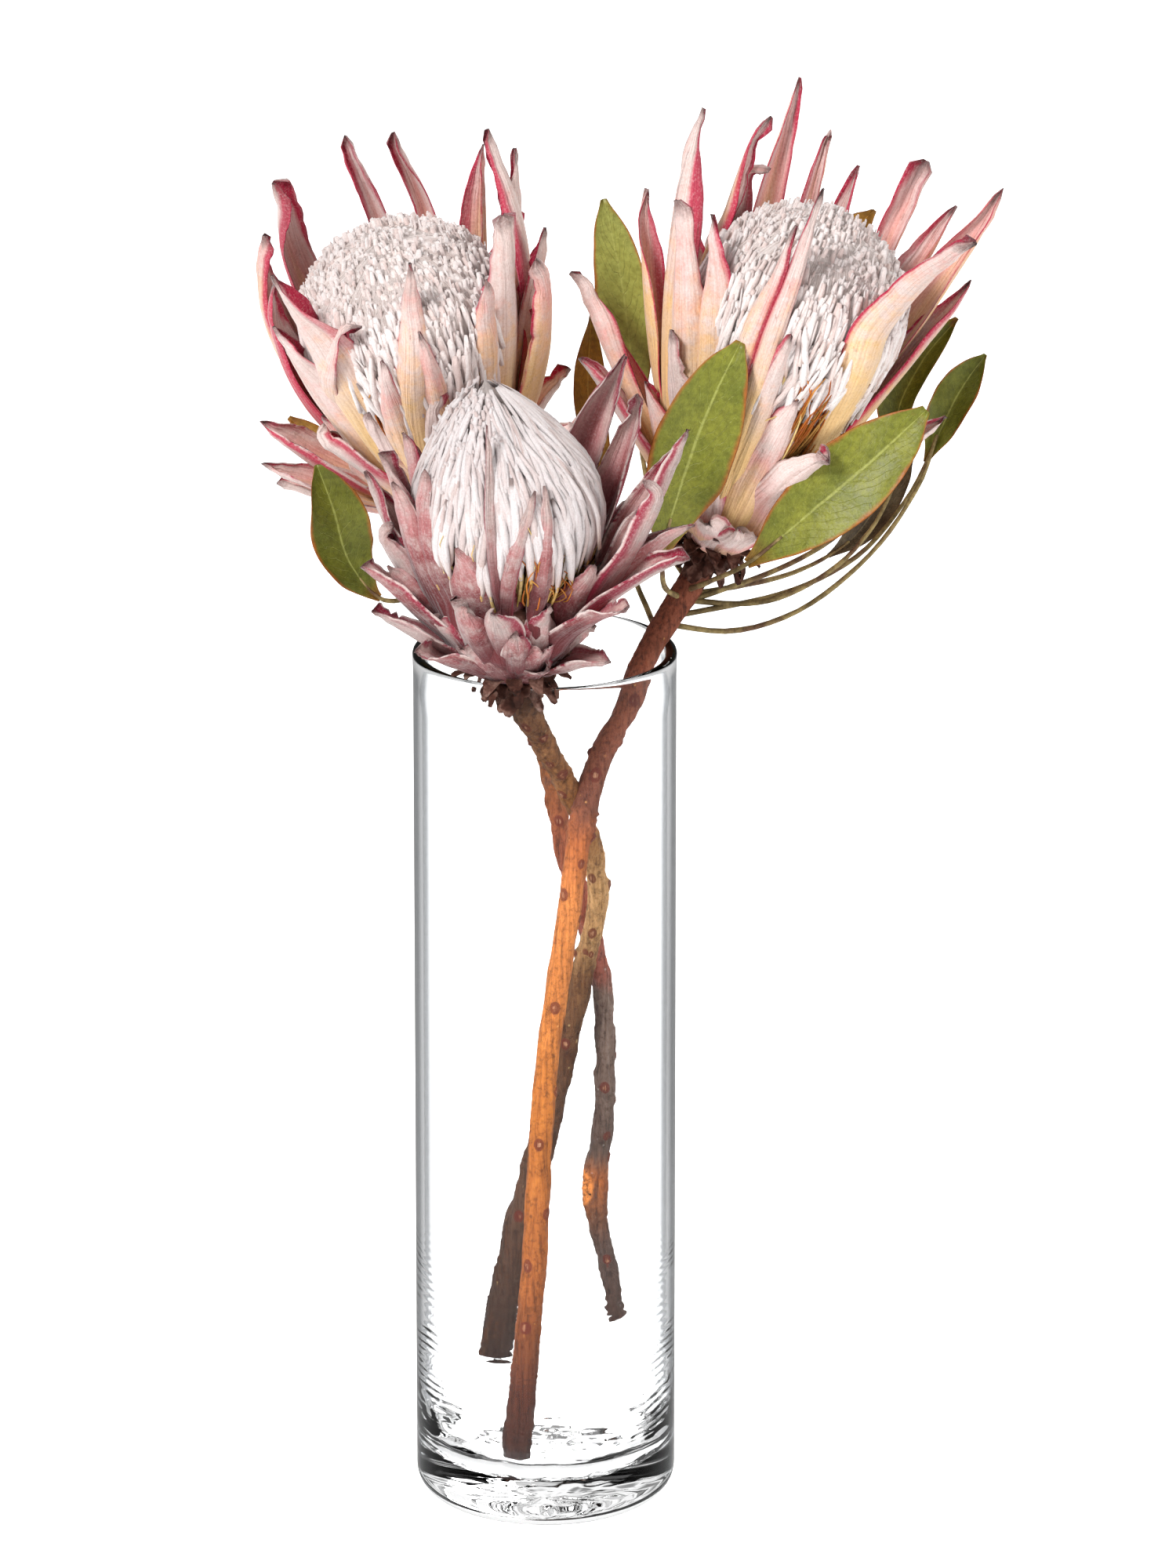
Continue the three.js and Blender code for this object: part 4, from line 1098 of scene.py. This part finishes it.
# How far the bristles of an open bloom lean outwards, by height on a bloom of the front one's size
OPEN_LEANS = [(101, 22), (118, 13), (134, 3), (160, -4)]
STEEP_SHARE = 0.2
OPEN_TASSELS = 330
CROWN_BRISTLES = 190
CROWN_SWEEP = Vector((-7, 2, 0))
CROWN_SWEPT = (92, 146)
CROWN_AZIMUTH = 196
CROWN_TOP = 143
STRAP_FOOT = 44
STRAPPED_BELOW = 72

# Bands of fur on the closed bloom: how many tassels, the heights where they start, their
# lengths, their half widths, how far they stand out, and how far up their wool begins
FUR_BANDS = [
    (130, (54, 72), (34, 50), (1.7, 2.5), (0.8, 2.2), 0.1),
    (330, (64, 94), (28, 44), (1.3, 2.1), (0.0, 1.1), 0.3),
    (330, (88, 122), (18, 32), (1.0, 1.7), (-0.3, 0.7), 0.42),
]

# A lone floret on the closed bloom: azimuth, lower and upper height, how far out, and half width
STRAY_FLORET = (331, 70, 112, 5.5, 1.4)
FLAME_RADII = [(0, 0.3), (0.07, 0.66), (0.3, 1), (0.75, 0.95), (0.93, 0.7), (1, 0.35)]
CORE_FOOT = [(44, 23), (52, 26), (66, 27)]


def add_floret(heap, master, line, radii, radial, tone, seed, flat=0.85, begins=0.0):
    """One floret laid along its line, with uneven woolly sides; begins is how far up it starts."""

    def ring(z):
        return (z, *line.laid(z, radial), reading(radii, z))

    def skin(ring, x, y):
        z, place, side, other, radius = ring
        radius *= 1 + 0.35 * lump(x * 1.3, y * 1.3, z * 4 + seed)
        return place + side * (x * radius * flat) + other * (y * radius)

    heap.add(master, ring, skin, tone=tone, kind=begins)


def add_flame(wool, stalks, points, thick, radial, seed, stalk, flat, begins):
    """A tassel of wool that starts in a point, with the golden strap that carries it from the cup."""
    low, high, end = points[-3:]
    line = Line([low, high, end], 4)
    radii = [(share, radius * thick) for share, radius in FLAME_RADII]
    master = FLAME_MASTER if len(points) > 3 else FUR_MASTER
    add_floret(wool, master, line, radii, radial, draw(seed + 0.6), seed, flat, begins)
    if len(points) > 3:
        strap = Line([*points[:-3], low, low.lerp(high, 0.25)], 4)
        width = [(0, stalk * 1.3), (0.6, stalk), (1, stalk * 0.8)]
        add_floret(stalks, FLORET_MASTER, strap, width, radial, draw(seed + 0.63) * 0.75, seed, 0.45)


def dome_places(rows, lowest, count):
    """Heights of florets packed side by side along the bloom's axis, from the dome's top down."""
    fine = 60
    top = rows[-1][0]
    heights = [top - (top - lowest) * k / fine for k in range(fine + 1)]
    areas = [0.0]
    for a, b in zip(heights, heights[1:]):
        below, above = reading(rows, b), reading(rows, a)
        areas.append(areas[-1] + (abs(below - above) + STEEP_SHARE * (a - b)) * (below + above))
    return [reading(list(zip(areas, heights)), areas[-1] * (i + 0.5) / count) for i in range(count)]


def add_open_bristles(wool, bloom, tree, heights, kind):
    """Bristles that end all over the dome of an open bloom, drawn together in clumps."""
    count, master, halves, standing, own_lean, own_swing, pull = kind
    leans = [(height, lean) for height, (_, lean) in zip(heights, OPEN_LEANS)]
    worn_azimuth, worn_height = bloom.table["worn"]
    for i, height in enumerate(dome_places(bloom.dome, heights[0] - 4, count)):
        seed = i * SEED_STEP + count * 0.37 + bloom.table["tall"]
        azimuth = i * GOLDEN_TURN + between(-3, 3, seed)
        height += between(-1.5, 1.5, seed + 0.1)
        end = bloom.on_dome(azimuth, height)
        middle, clump, _ = tree.find(end)
        radial, around = bloom.turned(azimuth)
        lean = reading(leans, height) + between(-9, 9, clump + 0.1)
        lean += between(-own_lean, own_lean, seed + 0.2)
        swing = between(-0.16, 0.16, clump + 0.3) + between(-own_swing, own_swing, seed + 0.3)
        along = bloom.leant(radial, lean) + around * swing
        foot = end - along * 26
        stand = between(*standing, seed + 0.4) + between(-2.4, 1.4, clump)
        end = end.lerp(middle, pull) + along * stand
        astray = abs((azimuth - worn_azimuth + 180) % 360 - 180) / 40
        is_worn = hypot(astray, (height - worn_height) / 12) < 1 and draw(seed + 0.8) < 0.35
        tone = 1.0 if is_worn else 0.93 * draw(seed * 0.5 + clump * 0.31)
        thick = between(*halves, seed + 0.6) * (0.8 if is_worn else 1)
        line = Line([foot, foot.lerp(end, 0.55) + radial * between(-0.9, 0.9, seed + 0.9), end], 2)
        radii = [(0, thick * 0.8), (0.5, thick), (0.88, thick), (1, thick * 0.62)]
        add_floret(wool, master, line, radii, radial, tone, seed, begins=0.25)


def make_open_florets(bloom, wool, stalks):
    """Wool that ends in bristles all over a dome, over a ring of tassels on golden straps."""
    heights = [bloom.stretched(height) for height, _ in OPEN_LEANS]
    lowest, widest = heights[:2]
    tree = kdtree.KDTree(OPEN_CLUMPS)
    for k, height in enumerate(dome_places(bloom.dome, lowest, OPEN_CLUMPS)):
        tree.insert(bloom.on_dome(k * GOLDEN_TURN + between(-25, 25, k), height), k)
    tree.balance()
    for kind in OPEN_BRISTLES:
        add_open_bristles(wool, bloom, tree, heights, kind)
    for i in range(OPEN_TASSELS):
        seed = i * SEED_STEP + 31 + len(bloom.name)
        azimuth = i * GOLDEN_TURN + between(-4, 4, seed)
        high = between(lowest - 2, widest + 8, seed + 0.1)
        length = between(22, 42, seed + 0.2)
        stand = between(-3.0, 2.0, seed + 0.3)
        yaw = between(-13, 13, seed + 0.4)
        low = high - length
        points = [
            bloom.place(azimuth + yaw, between(21, 27, seed + 0.5), STRAP_FOOT),
            bloom.place(azimuth + yaw, reading(bloom.dome, low) - 6 + stand, low - 14),
            bloom.on_dome(azimuth + yaw, low, stand - 1.5),
            bloom.on_dome(azimuth + yaw * 0.4, high - length / 2, stand),
            bloom.on_dome(azimuth, high, stand * 0.5),
        ]
        add_flame(
            wool, stalks, points, between(1.2, 1.9, seed + 0.7), bloom.turned(azimuth)[0], seed,
            between(0.7, 1.25, seed + 0.8), 0.7, 0.08,
        )
    make_core(bloom, [(lowest, 7.5), (widest, 4.6), (heights[2], 2.6)], 0.0, Vector())
    add_styles(stalks, bloom, 110, 0.55)


def make_closed_florets(bloom, wool, stalks):
    """Wool that lies like fur over the bloom in tassels, from its rim up to its swept crown."""

    def on_dome(azimuth, height, stand):
        place = bloom.place(azimuth, max(0.8, reading(bloom.dome, height) + stand), height)
        return place + CROWN_SWEEP * smooth(*CROWN_SWEPT, height)

    for count, lows, lengths, thicks, stands, begins in FUR_BANDS:
        for i in range(count):
            seed = i * SEED_STEP + count * 1.3 + lows[0]
            azimuth = i * GOLDEN_TURN + between(-6, 6, seed)
            low = between(*lows, seed + 0.1)
            high = min(low + between(*lengths, seed + 0.2), CROWN_TOP)
            stand = between(*stands, seed + 0.3)
            yaw = between(-12, 12, seed + 0.4) * (1 + smooth(90, 120, low))
            points = [
                bloom.place(azimuth + yaw, between(20, 26, seed + 0.5), STRAP_FOOT),
                bloom.place(azimuth + yaw, reading(bloom.dome, low) - 8 + stand, low - 10),
                on_dome(azimuth + yaw, low, stand - 1.2),
                on_dome(azimuth + yaw * 0.5, (low + high) / 2, stand + 0.3),
                on_dome(azimuth, high, stand - 1.0),
            ]
            add_flame(
                wool, stalks, points if low < STRAPPED_BELOW else points[2:], between(*thicks, seed + 0.6),
                bloom.turned(azimuth)[0], seed, between(0.6, 1.1, seed + 0.8), 0.4, begins,
            )
    for i in range(CROWN_BRISTLES):
        seed = i * SEED_STEP + 9.5
        azimuth = CROWN_AZIMUTH + between(-85, 85, seed + 0.5)
        height = CROWN_TOP - 50 * draw(seed) * (1 - abs(azimuth - CROWN_AZIMUTH) / 130)
        radial, around = bloom.turned(azimuth)
        end = on_dome(azimuth, height, 1.2)
        out = 0.9 * smooth(140, 110, height)
        along = (bloom.z + radial * out + around * between(-0.3, 0.3, seed + 0.1)).normalized()
        line = Line([end - along * 9, end - along * 3, end + along * between(-0.6, 1.8, seed + 0.2)], 2)
        radii = [(0, 0.9), (0.5, 1.15), (0.85, 1.1), (1, 0.6)]
        add_floret(wool, COLUMN_MASTER, line, radii, radial, 0.93 * draw(seed + 0.3), seed, begins=0.3)
    azimuth, low, high, stand, girth = STRAY_FLORET
    places = ((azimuth + 4, low), (azimuth, (low + high) / 2), (azimuth - 3, high))
    line = Line([on_dome(turn, height, stand) for turn, height in places], 4)
    radii = [(0, girth), (0.9, girth), (1, girth * 0.5)]
    add_floret(wool, FLAME_MASTER, line, radii, bloom.turned(azimuth)[0], 0.5, low, 0.5)
    make_core(bloom, [(0, 2.0), (122, 2.2), (140, 5)], 0.4, CROWN_SWEEP)
    add_styles(stalks, bloom, 60, 0.4)


def sunk_rows(rows, depths):
    """The rows of a dome moved inwards, square to its face, by a depth for each height."""
    sunk = []
    for (height, radius), low, high in zip(rows, rows[:1] + rows, rows[1:] + rows[-1:]):
        depth = reading(depths, height)
        rise, run = high[0] - low[0], high[1] - low[1]
        size = hypot(rise, run)
        sunk.append((height + depth * run / size, max(0.5, radius - depth * rise / size)))
    return sunk


def make_core(bloom, depths, wooliness, sweep):
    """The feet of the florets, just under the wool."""
    heap = Heap()
    side = CORE_FOOT + [row for row in sunk_rows(bloom.dome, depths) if row[0] > 67]

    def ring(z):
        height = STRAP_FOOT + (side[-1][0] - STRAP_FOOT) * z
        return z, height, eased(side, height, 1) * (0.7 if z > 0.985 else 1)

    def skin(ring, x, y):
        z, height, radius = ring
        radius *= hypot(x, y) * (1 + 0.04 * lump(x * 8, y * 8, z * 9))
        return bloom.place(degrees(atan2(y, x)), radius, height) + sweep * smooth(*CROWN_SWEPT, height)

    heap.add(rod_master(48, 40), ring, skin, kind=wooliness)
    heap.piece(f"core_{bloom.name}", bpy.data.materials["floret_core"], "floret")


def add_styles(heap, bloom, count, girth):
    """Thin golden styles that show between the florets, most of them where the florets gape."""
    gap_azimuth, gap_height = bloom.table["gap"]
    radii = [(0, girth), (0.8, girth * 0.9), (1, girth * 0.6)]
    for i in range(count):
        seed = i * SEED_STEP + 2.5 + len(bloom.name)
        azimuth, high, tone = i * GOLDEN_TURN, between(64, 92, seed), 0.7 * draw(seed + 0.9)
        if i % 2:
            azimuth = gap_azimuth + between(-20, 20, seed + 0.7)
            high = gap_height + between(-14, 10, seed + 0.8)
            tone = between(0.72, 1, seed + 0.9)
        radial, around = bloom.turned(azimuth)
        root = bloom.place(azimuth, between(22, 28, seed + 0.1), STRAP_FOOT)
        end = bloom.on_dome(azimuth + between(-10, 10, seed + 0.2), high, between(-1, 2.4, seed + 0.3))
        bow = root.lerp(end, 0.5) + radial * between(0, 4, seed + 0.4)
        line = Line([root, bow, end, end + bloom.z * 5 + around * between(-6, 6, seed + 0.5)], 3)
        add_floret(heap, FLORET_MASTER, line, radii, radial, tone, seed)


def style_material():
    """Straps and styles, gold at their feet and rusty at the ends of some."""
    m = Recipe("golden_styles")
    fibres = m.grain(500.0, 2.0)
    ends = m.ramp(
        m.field("tone"), (0.0, (214, 186, 122)), (0.4, (232, 206, 150)), (0.7, (206, 160, 84)),
        (0.8, (204, 116, 34)), (1.0, (132, 60, 26)),
    )
    m.colour = m.mix(m.band(m.field("along"), 0.1, 0.7), (196, 164, 88), ends)
    m.shade(0.5, fibres, 0.35, 0.6, (190, 176, 150))
    m.relief(fibres, 0.2, 0.5)
    return m.finish(0.6, Specular_IOR_Level=0.3)


def make_blooms():
    scales = dry_material(
        "withered_scales", (120.0, 3.0, 0.6),
        [(0.25, (44, 26, 20)), (0.48, (84, 50, 40)), (0.62, (132, 98, 86)), (0.8, (170, 142, 130))],
        (420.0, 5.0, 0.7), (110, 96, 90), (0.8, 0.8), 0.9, 0.2,
    )
    styles = style_material()
    core_material()
    rose = felt_material(
        "bract_felt", pale=(238, 214, 209), blush=(234, 174, 166), peach=(240, 194, 156),
        heart=(238, 198, 138), margin=(194, 32, 74), grey=(226, 206, 200), frost=0.3, lift=0.4,
    )
    mauve = felt_material(
        "bract_felt_mauve", pale=(208, 180, 174), blush=(192, 134, 134), peach=(156, 84, 86),
        heart=(112, 46, 50), margin=(150, 26, 58), grey=(190, 170, 166), frost=0.85, lift=-0.12,
    )
    white = floret_material("floret_wool", (252, 245, 243), (236, 208, 192), (206, 160, 116))
    greyed = floret_material("floret_wool_grey", (226, 219, 219), (214, 190, 180), (190, 150, 116))
    for name, table in BLOOMS.items():
        bloom = Bloom(name, table)
        is_open = table["tuft"] == "open"
        bracts, wool, stalks = Heap(), Heap(), Heap()
        for row in bracts_of(table):
            add_bract(bracts, bloom, row, smooth(18, 2, row[1]) - HIGH_GOLD * smooth(18, 30, row[1]))
        bracts.piece(f"felt_{name}", rose if is_open else mauve, "bract", f"bracts_{name}")
        make_cup(bloom, scales)
        (make_open_florets if is_open else make_closed_florets)(bloom, wool, stalks)
        wool.piece(f"wool_{name}", white if is_open else greyed, "floret", f"florets_{name}")
        stalks.piece(f"styles_{name}", styles, "floret")


# Leaves: the stalk and midrib as one line, where the blade begins along it, its greatest
# width, the way its upper face looks, how far its sides fold up, and its colour

LEAVES = {
    "leaf_top": (
        [(66, 21.5, 434), (52, 44, 452), (45, 50, 484), (40, 49, 526), (35, 47, 569), (27, 46, 609)],
        0.42, 27, (-0.3, -1, 0.2), 0.12, "green",
    ),
    "leaf_left": (
        [(-30, 51, 431), (-50, 42, 426), (-73, 25, 425), (-89, 17, 446), (-96, 13, 472), (-103, 10, 494)],
        0.42, 30, (0.2, -1, 0.5), 0.3, "green",
    ),
    "leaf_front": (
        [(62, 19, 428), (54, -4, 442), (55, -22, 470), (66, -34, 512), (77, -36, 542), (88, -34, 565)],
        0.3, 39, (0.1, -1, 0.1), 0.18, "green",
    ),
    "leaf_right": (
        [(64, 20.5, 431), (76, -2, 443), (94, -16, 457), (122, -24, 484), (147, -24, 506), (172, -16, 528)],
        0.32, 39, (-0.1, -1, 0.5), 0.16, "green",
    ),
    "leaf_folded": (
        [(60, 18, 425), (109, 38, 437), (141, 46, 456), (161, 54, 484), (162, 56, 508), (173, 56, 531),
         (188, 56, 550)],
        0.6, 24, (-0.5, -1, 0.2), 0.7, "green",
    ),
    "leaf_far": (
        [(57, 16, 420), (109, 30, 427), (143, 36, 443), (165, 42, 468), (176, 46, 489), (183, 48, 505),
         (191, 50, 520), (201, 52, 534)],
        0.72, 22, (-0.3, -1, 0.3), 0.5, "green",
    ),
    "leaf_back": (
        [(68, 23, 438), (78, 62, 446), (96, 94, 486), (122, 114, 536), (140, 114, 572), (151, 110, 586)],
        0.6, 24, (0, -1, 0.1), 0.2, "mustard",
    ),
    "leaf_middle": (
        [(52, 12, 412), (38, 36, 440), (27, 50, 474), (20, 54, 510), (21, 54, 552)],
        0.4, 17, (0.3, -1, 0), 0.3, "mustard",
    ),
    "leaf_behind": (
        [(-34, 55, 440), (-54, 68, 448), (-81, 78, 460), (-99, 82, 479), (-118, 86, 494)],
        0.36, 17, (0, -1, 0.6), 0.3, "mustard",
    ),
    "leaf_dry": (
        [(63, 20, 429), (109, 46, 430), (138, 54, 443), (153, 58, 461), (168, 60, 482)],
        0.56, 20, (0.2, -1, 0.5), 0.6, "dry",
    ),
}
LEAF_OUTLINE = [(0, 0.1), (0.1, 0.3), (0.25, 0.68), (0.42, 0.94), (0.58, 1), (0.74, 0.86), (0.88, 0.56),
                (0.96, 0.26), (1, 0.06)]
LEAF_MASTER = rod_master(24, 40)
STALK_MASTER = rod_master(7, 24)
STALK_RADII = [(0, 1.4), (0.7, 1.1), (1, 0.7)]
STALK_UNDER_BLADE = 0.2
BARE_STALKS = {
    "stalk_low": [(55, 15, 417), (86, 20, 412), (118, 26, 421), (149, 33, 445), (170, 40, 474),
        (179, 45, 498)],
    "stalk_high": [(61, 19, 427), (100, 26, 424), (131, 30, 438), (150, 34, 458), (160, 37, 478)],
}
# Painted light and shade for whole leaves: over a half a leaf is painted lighter as if lit, under a half
# darker as if in shade
LEAF_PAINTED_LIGHT_AND_SHADE = {"leaf_top": 0.95, "leaf_left": 0.2, "leaf_folded": 0.2, "leaf_far": 0.3}
LEAF_SLOTS = {"leaf_middle": "leaf_mustard", "leaf_dry": "leaf_dry"}


def add_leaf_blade(heap, line, begins, width, faces, fold, seed, tone):
    """The blade of a leaf: folded along its midrib, with wavy margins, and a tone that sets its painted
    light and shade.
    """

    def ring(z):
        place, along = line.at(begins + (1 - begins) * z)
        across = along.cross(faces).normalized()
        return z, place, across, along.cross(across).normalized(), width / 2 * eased(LEAF_OUTLINE, z)

    def skin(ring, x, y):
        z, place, across, outward, half = ring
        half *= 1 + 0.05 * lump(copysign(1, x), z * 7, seed)
        bend = fold * (0.35 + 0.65 * abs(x))
        lift = 1.3 * x * x * sin(z * 14 + seed + 2 * x) * smooth(0, 0.3, z)
        lift += 0.8 * lump(x * 1.5, z * 4, seed) + 0.55 * exp(-(x * half / 1.2) ** 2)
        lift += 0.42 * copysign(abs(y) ** 0.7, y)
        lift -= half * abs(x) * sin(bend)
        return place + across * (half * x * cos(bend)) + outward * lift

    heap.add(LEAF_MASTER, ring, skin, tone=tone)


def make_stalk(name, points, until, radii, seed, *replaced):
    """A dry stalk along the first part of a line."""
    line = Line(points)
    heap = Heap()

    def ring(z):
        return (z, *line.laid(z * until, Vector((0.2, -1, 0.1))), reading(radii, z))

    def skin(ring, x, y):
        z, place, side, other, radius = ring
        radius *= 1 + 0.2 * lump(x, y, z * 12 + seed)
        return place + side * x * radius + other * y * radius

    heap.add(STALK_MASTER, ring, skin, tone=draw(seed), kind=1.0)
    heap.piece(name, bpy.data.materials["dry_stalk"], "leaf_dry", *replaced)


def make_leaves():
    dry_material(
        "dry_stalk", (70.0, 2.0), [(0.35, (116, 98, 60)), (0.5, (160, 140, 92)), (0.65, (112, 84, 60))],
        (500.0, 3.0, 0.6), (120, 110, 96), (0.3, 0.6), 0.7, 0.3,
    )
    skins = {
        "green": leaf_material("leaf_green", (128, 130, 38), (104, 110, 30), (168, 92, 36), (176, 180, 98)),
        "mustard": leaf_material("leaf_gold", (170, 124, 40), (128, 90, 32), (138, 70, 30), (206, 170, 86)),
        "dry": leaf_material("leaf_withered", (112, 98, 74), (78, 64, 50), (92, 62, 44), (150, 136, 108)),
    }
    for number, (name, (points, begins, width, faces, fold, colour)) in enumerate(LEAVES.items()):
        heap = Heap()
        # How far this leaf is painted lighter as if lit, or darker as painted shade
        tone = LEAF_PAINTED_LIGHT_AND_SHADE.get(name, 0.5)
        faces = Vector(faces).normalized()
        add_leaf_blade(heap, Line(points), begins, width, faces, fold, number * 1.7, tone)
        heap.piece(f"{name}_blade", skins[colour], LEAF_SLOTS.get(name, "leaf"), name)
        until = begins + STALK_UNDER_BLADE * (1 - begins)
        make_stalk(f"{name}_stalk", points, until, STALK_RADII, number * 2.3)
    for number, (name, points) in enumerate(BARE_STALKS.items()):
        make_stalk(f"{name}_bare", points, 1.0, [(0, 1.4), (1, 0.9)], number, name)


# Stage, light and camera, placed in metres. A lamp is (name, place, size, power).

CAMERA_TILT = radians(18.5)
CAMERA_DISTANCE = 5.0
CAMERA_AIM = Vector((0.0197, 0.0, 0.345))
CAMERA_LENS = 251.3
SENSOR = 36.0
FLOOR_SEEN = 0.5
FLOOR_GLOW = 0.12
FLOOR_DIMS = 0.6
ROOM_LIGHT = 0.48
ROOM_MIRRORED = 0.08
CEILING = (0.42, 0.7)
CEILING_LIGHT = {"To Min": 1.0, "To Max": 0.3}
LAMP_AIM = Vector((0.02, 0, 0.45))
LAMPS = [
    ("key", (-1.6, -2.0, 2.4), 0.9, 102),
    ("fill", (2.2, -1.5, 1.1), 1.3, 26),
    ("back", (0.9, 2.0, 1.9), 1.3, 36),
]


def make_stage():
    """A white floor that glows where it is seen, also through glass, and is dim where glass mirrors it."""
    bpy.ops.object.select_all(action="DESELECT")
    bpy.ops.mesh.primitive_plane_add(size=60, location=(0, 0, -0.0005))
    floor = bpy.context.active_object
    floor.name = "floor"
    m = Recipe("floor_white")
    seen = m.math("MAXIMUM", m.ray("Is Camera Ray"), m.ray("Is Transmission Ray"))
    mirrored = m.math("MINIMUM", m.ray("Glossy Depth"), FLOOR_DIMS)
    m.colour = m.mix(mirrored, (246, 246, 246), (20, 20, 20))
    glow = (seen * FLOOR_SEEN + FLOOR_GLOW) * (1.0 - mirrored)
    floor.data.materials.append(m.finish(0.9, Emission_Color=CLEAR, Emission_Strength=glow))
    m.owner.cycles.emission_sampling = "NONE"


def make_lamp(name, place, size, power):
    bpy.ops.object.light_add(type="AREA", location=place)
    lamp = bpy.context.active_object
    lamp.name = name
    lamp.data.size = size
    lamp.data.energy = power
    aim = LAMP_AIM - Vector(place)
    lamp.rotation_euler = aim.to_track_quat("-Z", "Y").to_euler()


def make_light():
    """Three soft lamps and a pale room, whose ceiling is dark where glass mirrors or bends it."""
    world = bpy.data.worlds.new("studio")
    bpy.context.scene.world = world
    room = Recipe("studio", world)
    world.cycles.sampling_method = "NONE"
    height = room.heights(room.value("TexCoord", output="Generated"))
    ceiling = room.band(height, *CEILING, **CEILING_LIGHT)
    bent = room.math("MAXIMUM", room.ray("Is Glossy Ray"), room.ray("Is Transmission Ray"))
    inside = room.math("MINIMUM", room.ray("Transmission Depth"), 1.0)
    mirrored = room.math("SUBTRACT", room.ray("Glossy Depth"), inside, clamp=True)
    light = room.weigh(bent, ROOM_LIGHT, ceiling)
    light = room.weigh(mirrored, light, ROOM_MIRRORED)
    light = room.weigh(room.ray("Is Camera Ray"), light, 1.0)
    room.feed(room.nodes["Background"].inputs["Color"], CLEAR)
    room.feed(room.nodes["Background"].inputs["Strength"], light)
    for name, place, size, power in LAMPS:
        make_lamp(name, place, size, power)
    bpy.context.scene.view_settings.view_transform = "Standard"


def make_camera():
    view = Vector((0, cos(CAMERA_TILT), -sin(CAMERA_TILT)))
    bpy.ops.object.camera_add(location=CAMERA_AIM - view * CAMERA_DISTANCE)
    camera = bpy.context.active_object
    camera.rotation_euler = view.to_track_quat("-Z", "Y").to_euler()
    camera.data.sensor_fit = "VERTICAL"
    camera.data.sensor_height = SENSOR
    camera.data.lens = CAMERA_LENS
    bpy.context.scene.camera = camera


make_camera()
make_light()
make_stage()
make_vase()
make_stems()
make_blooms()
make_leaves()
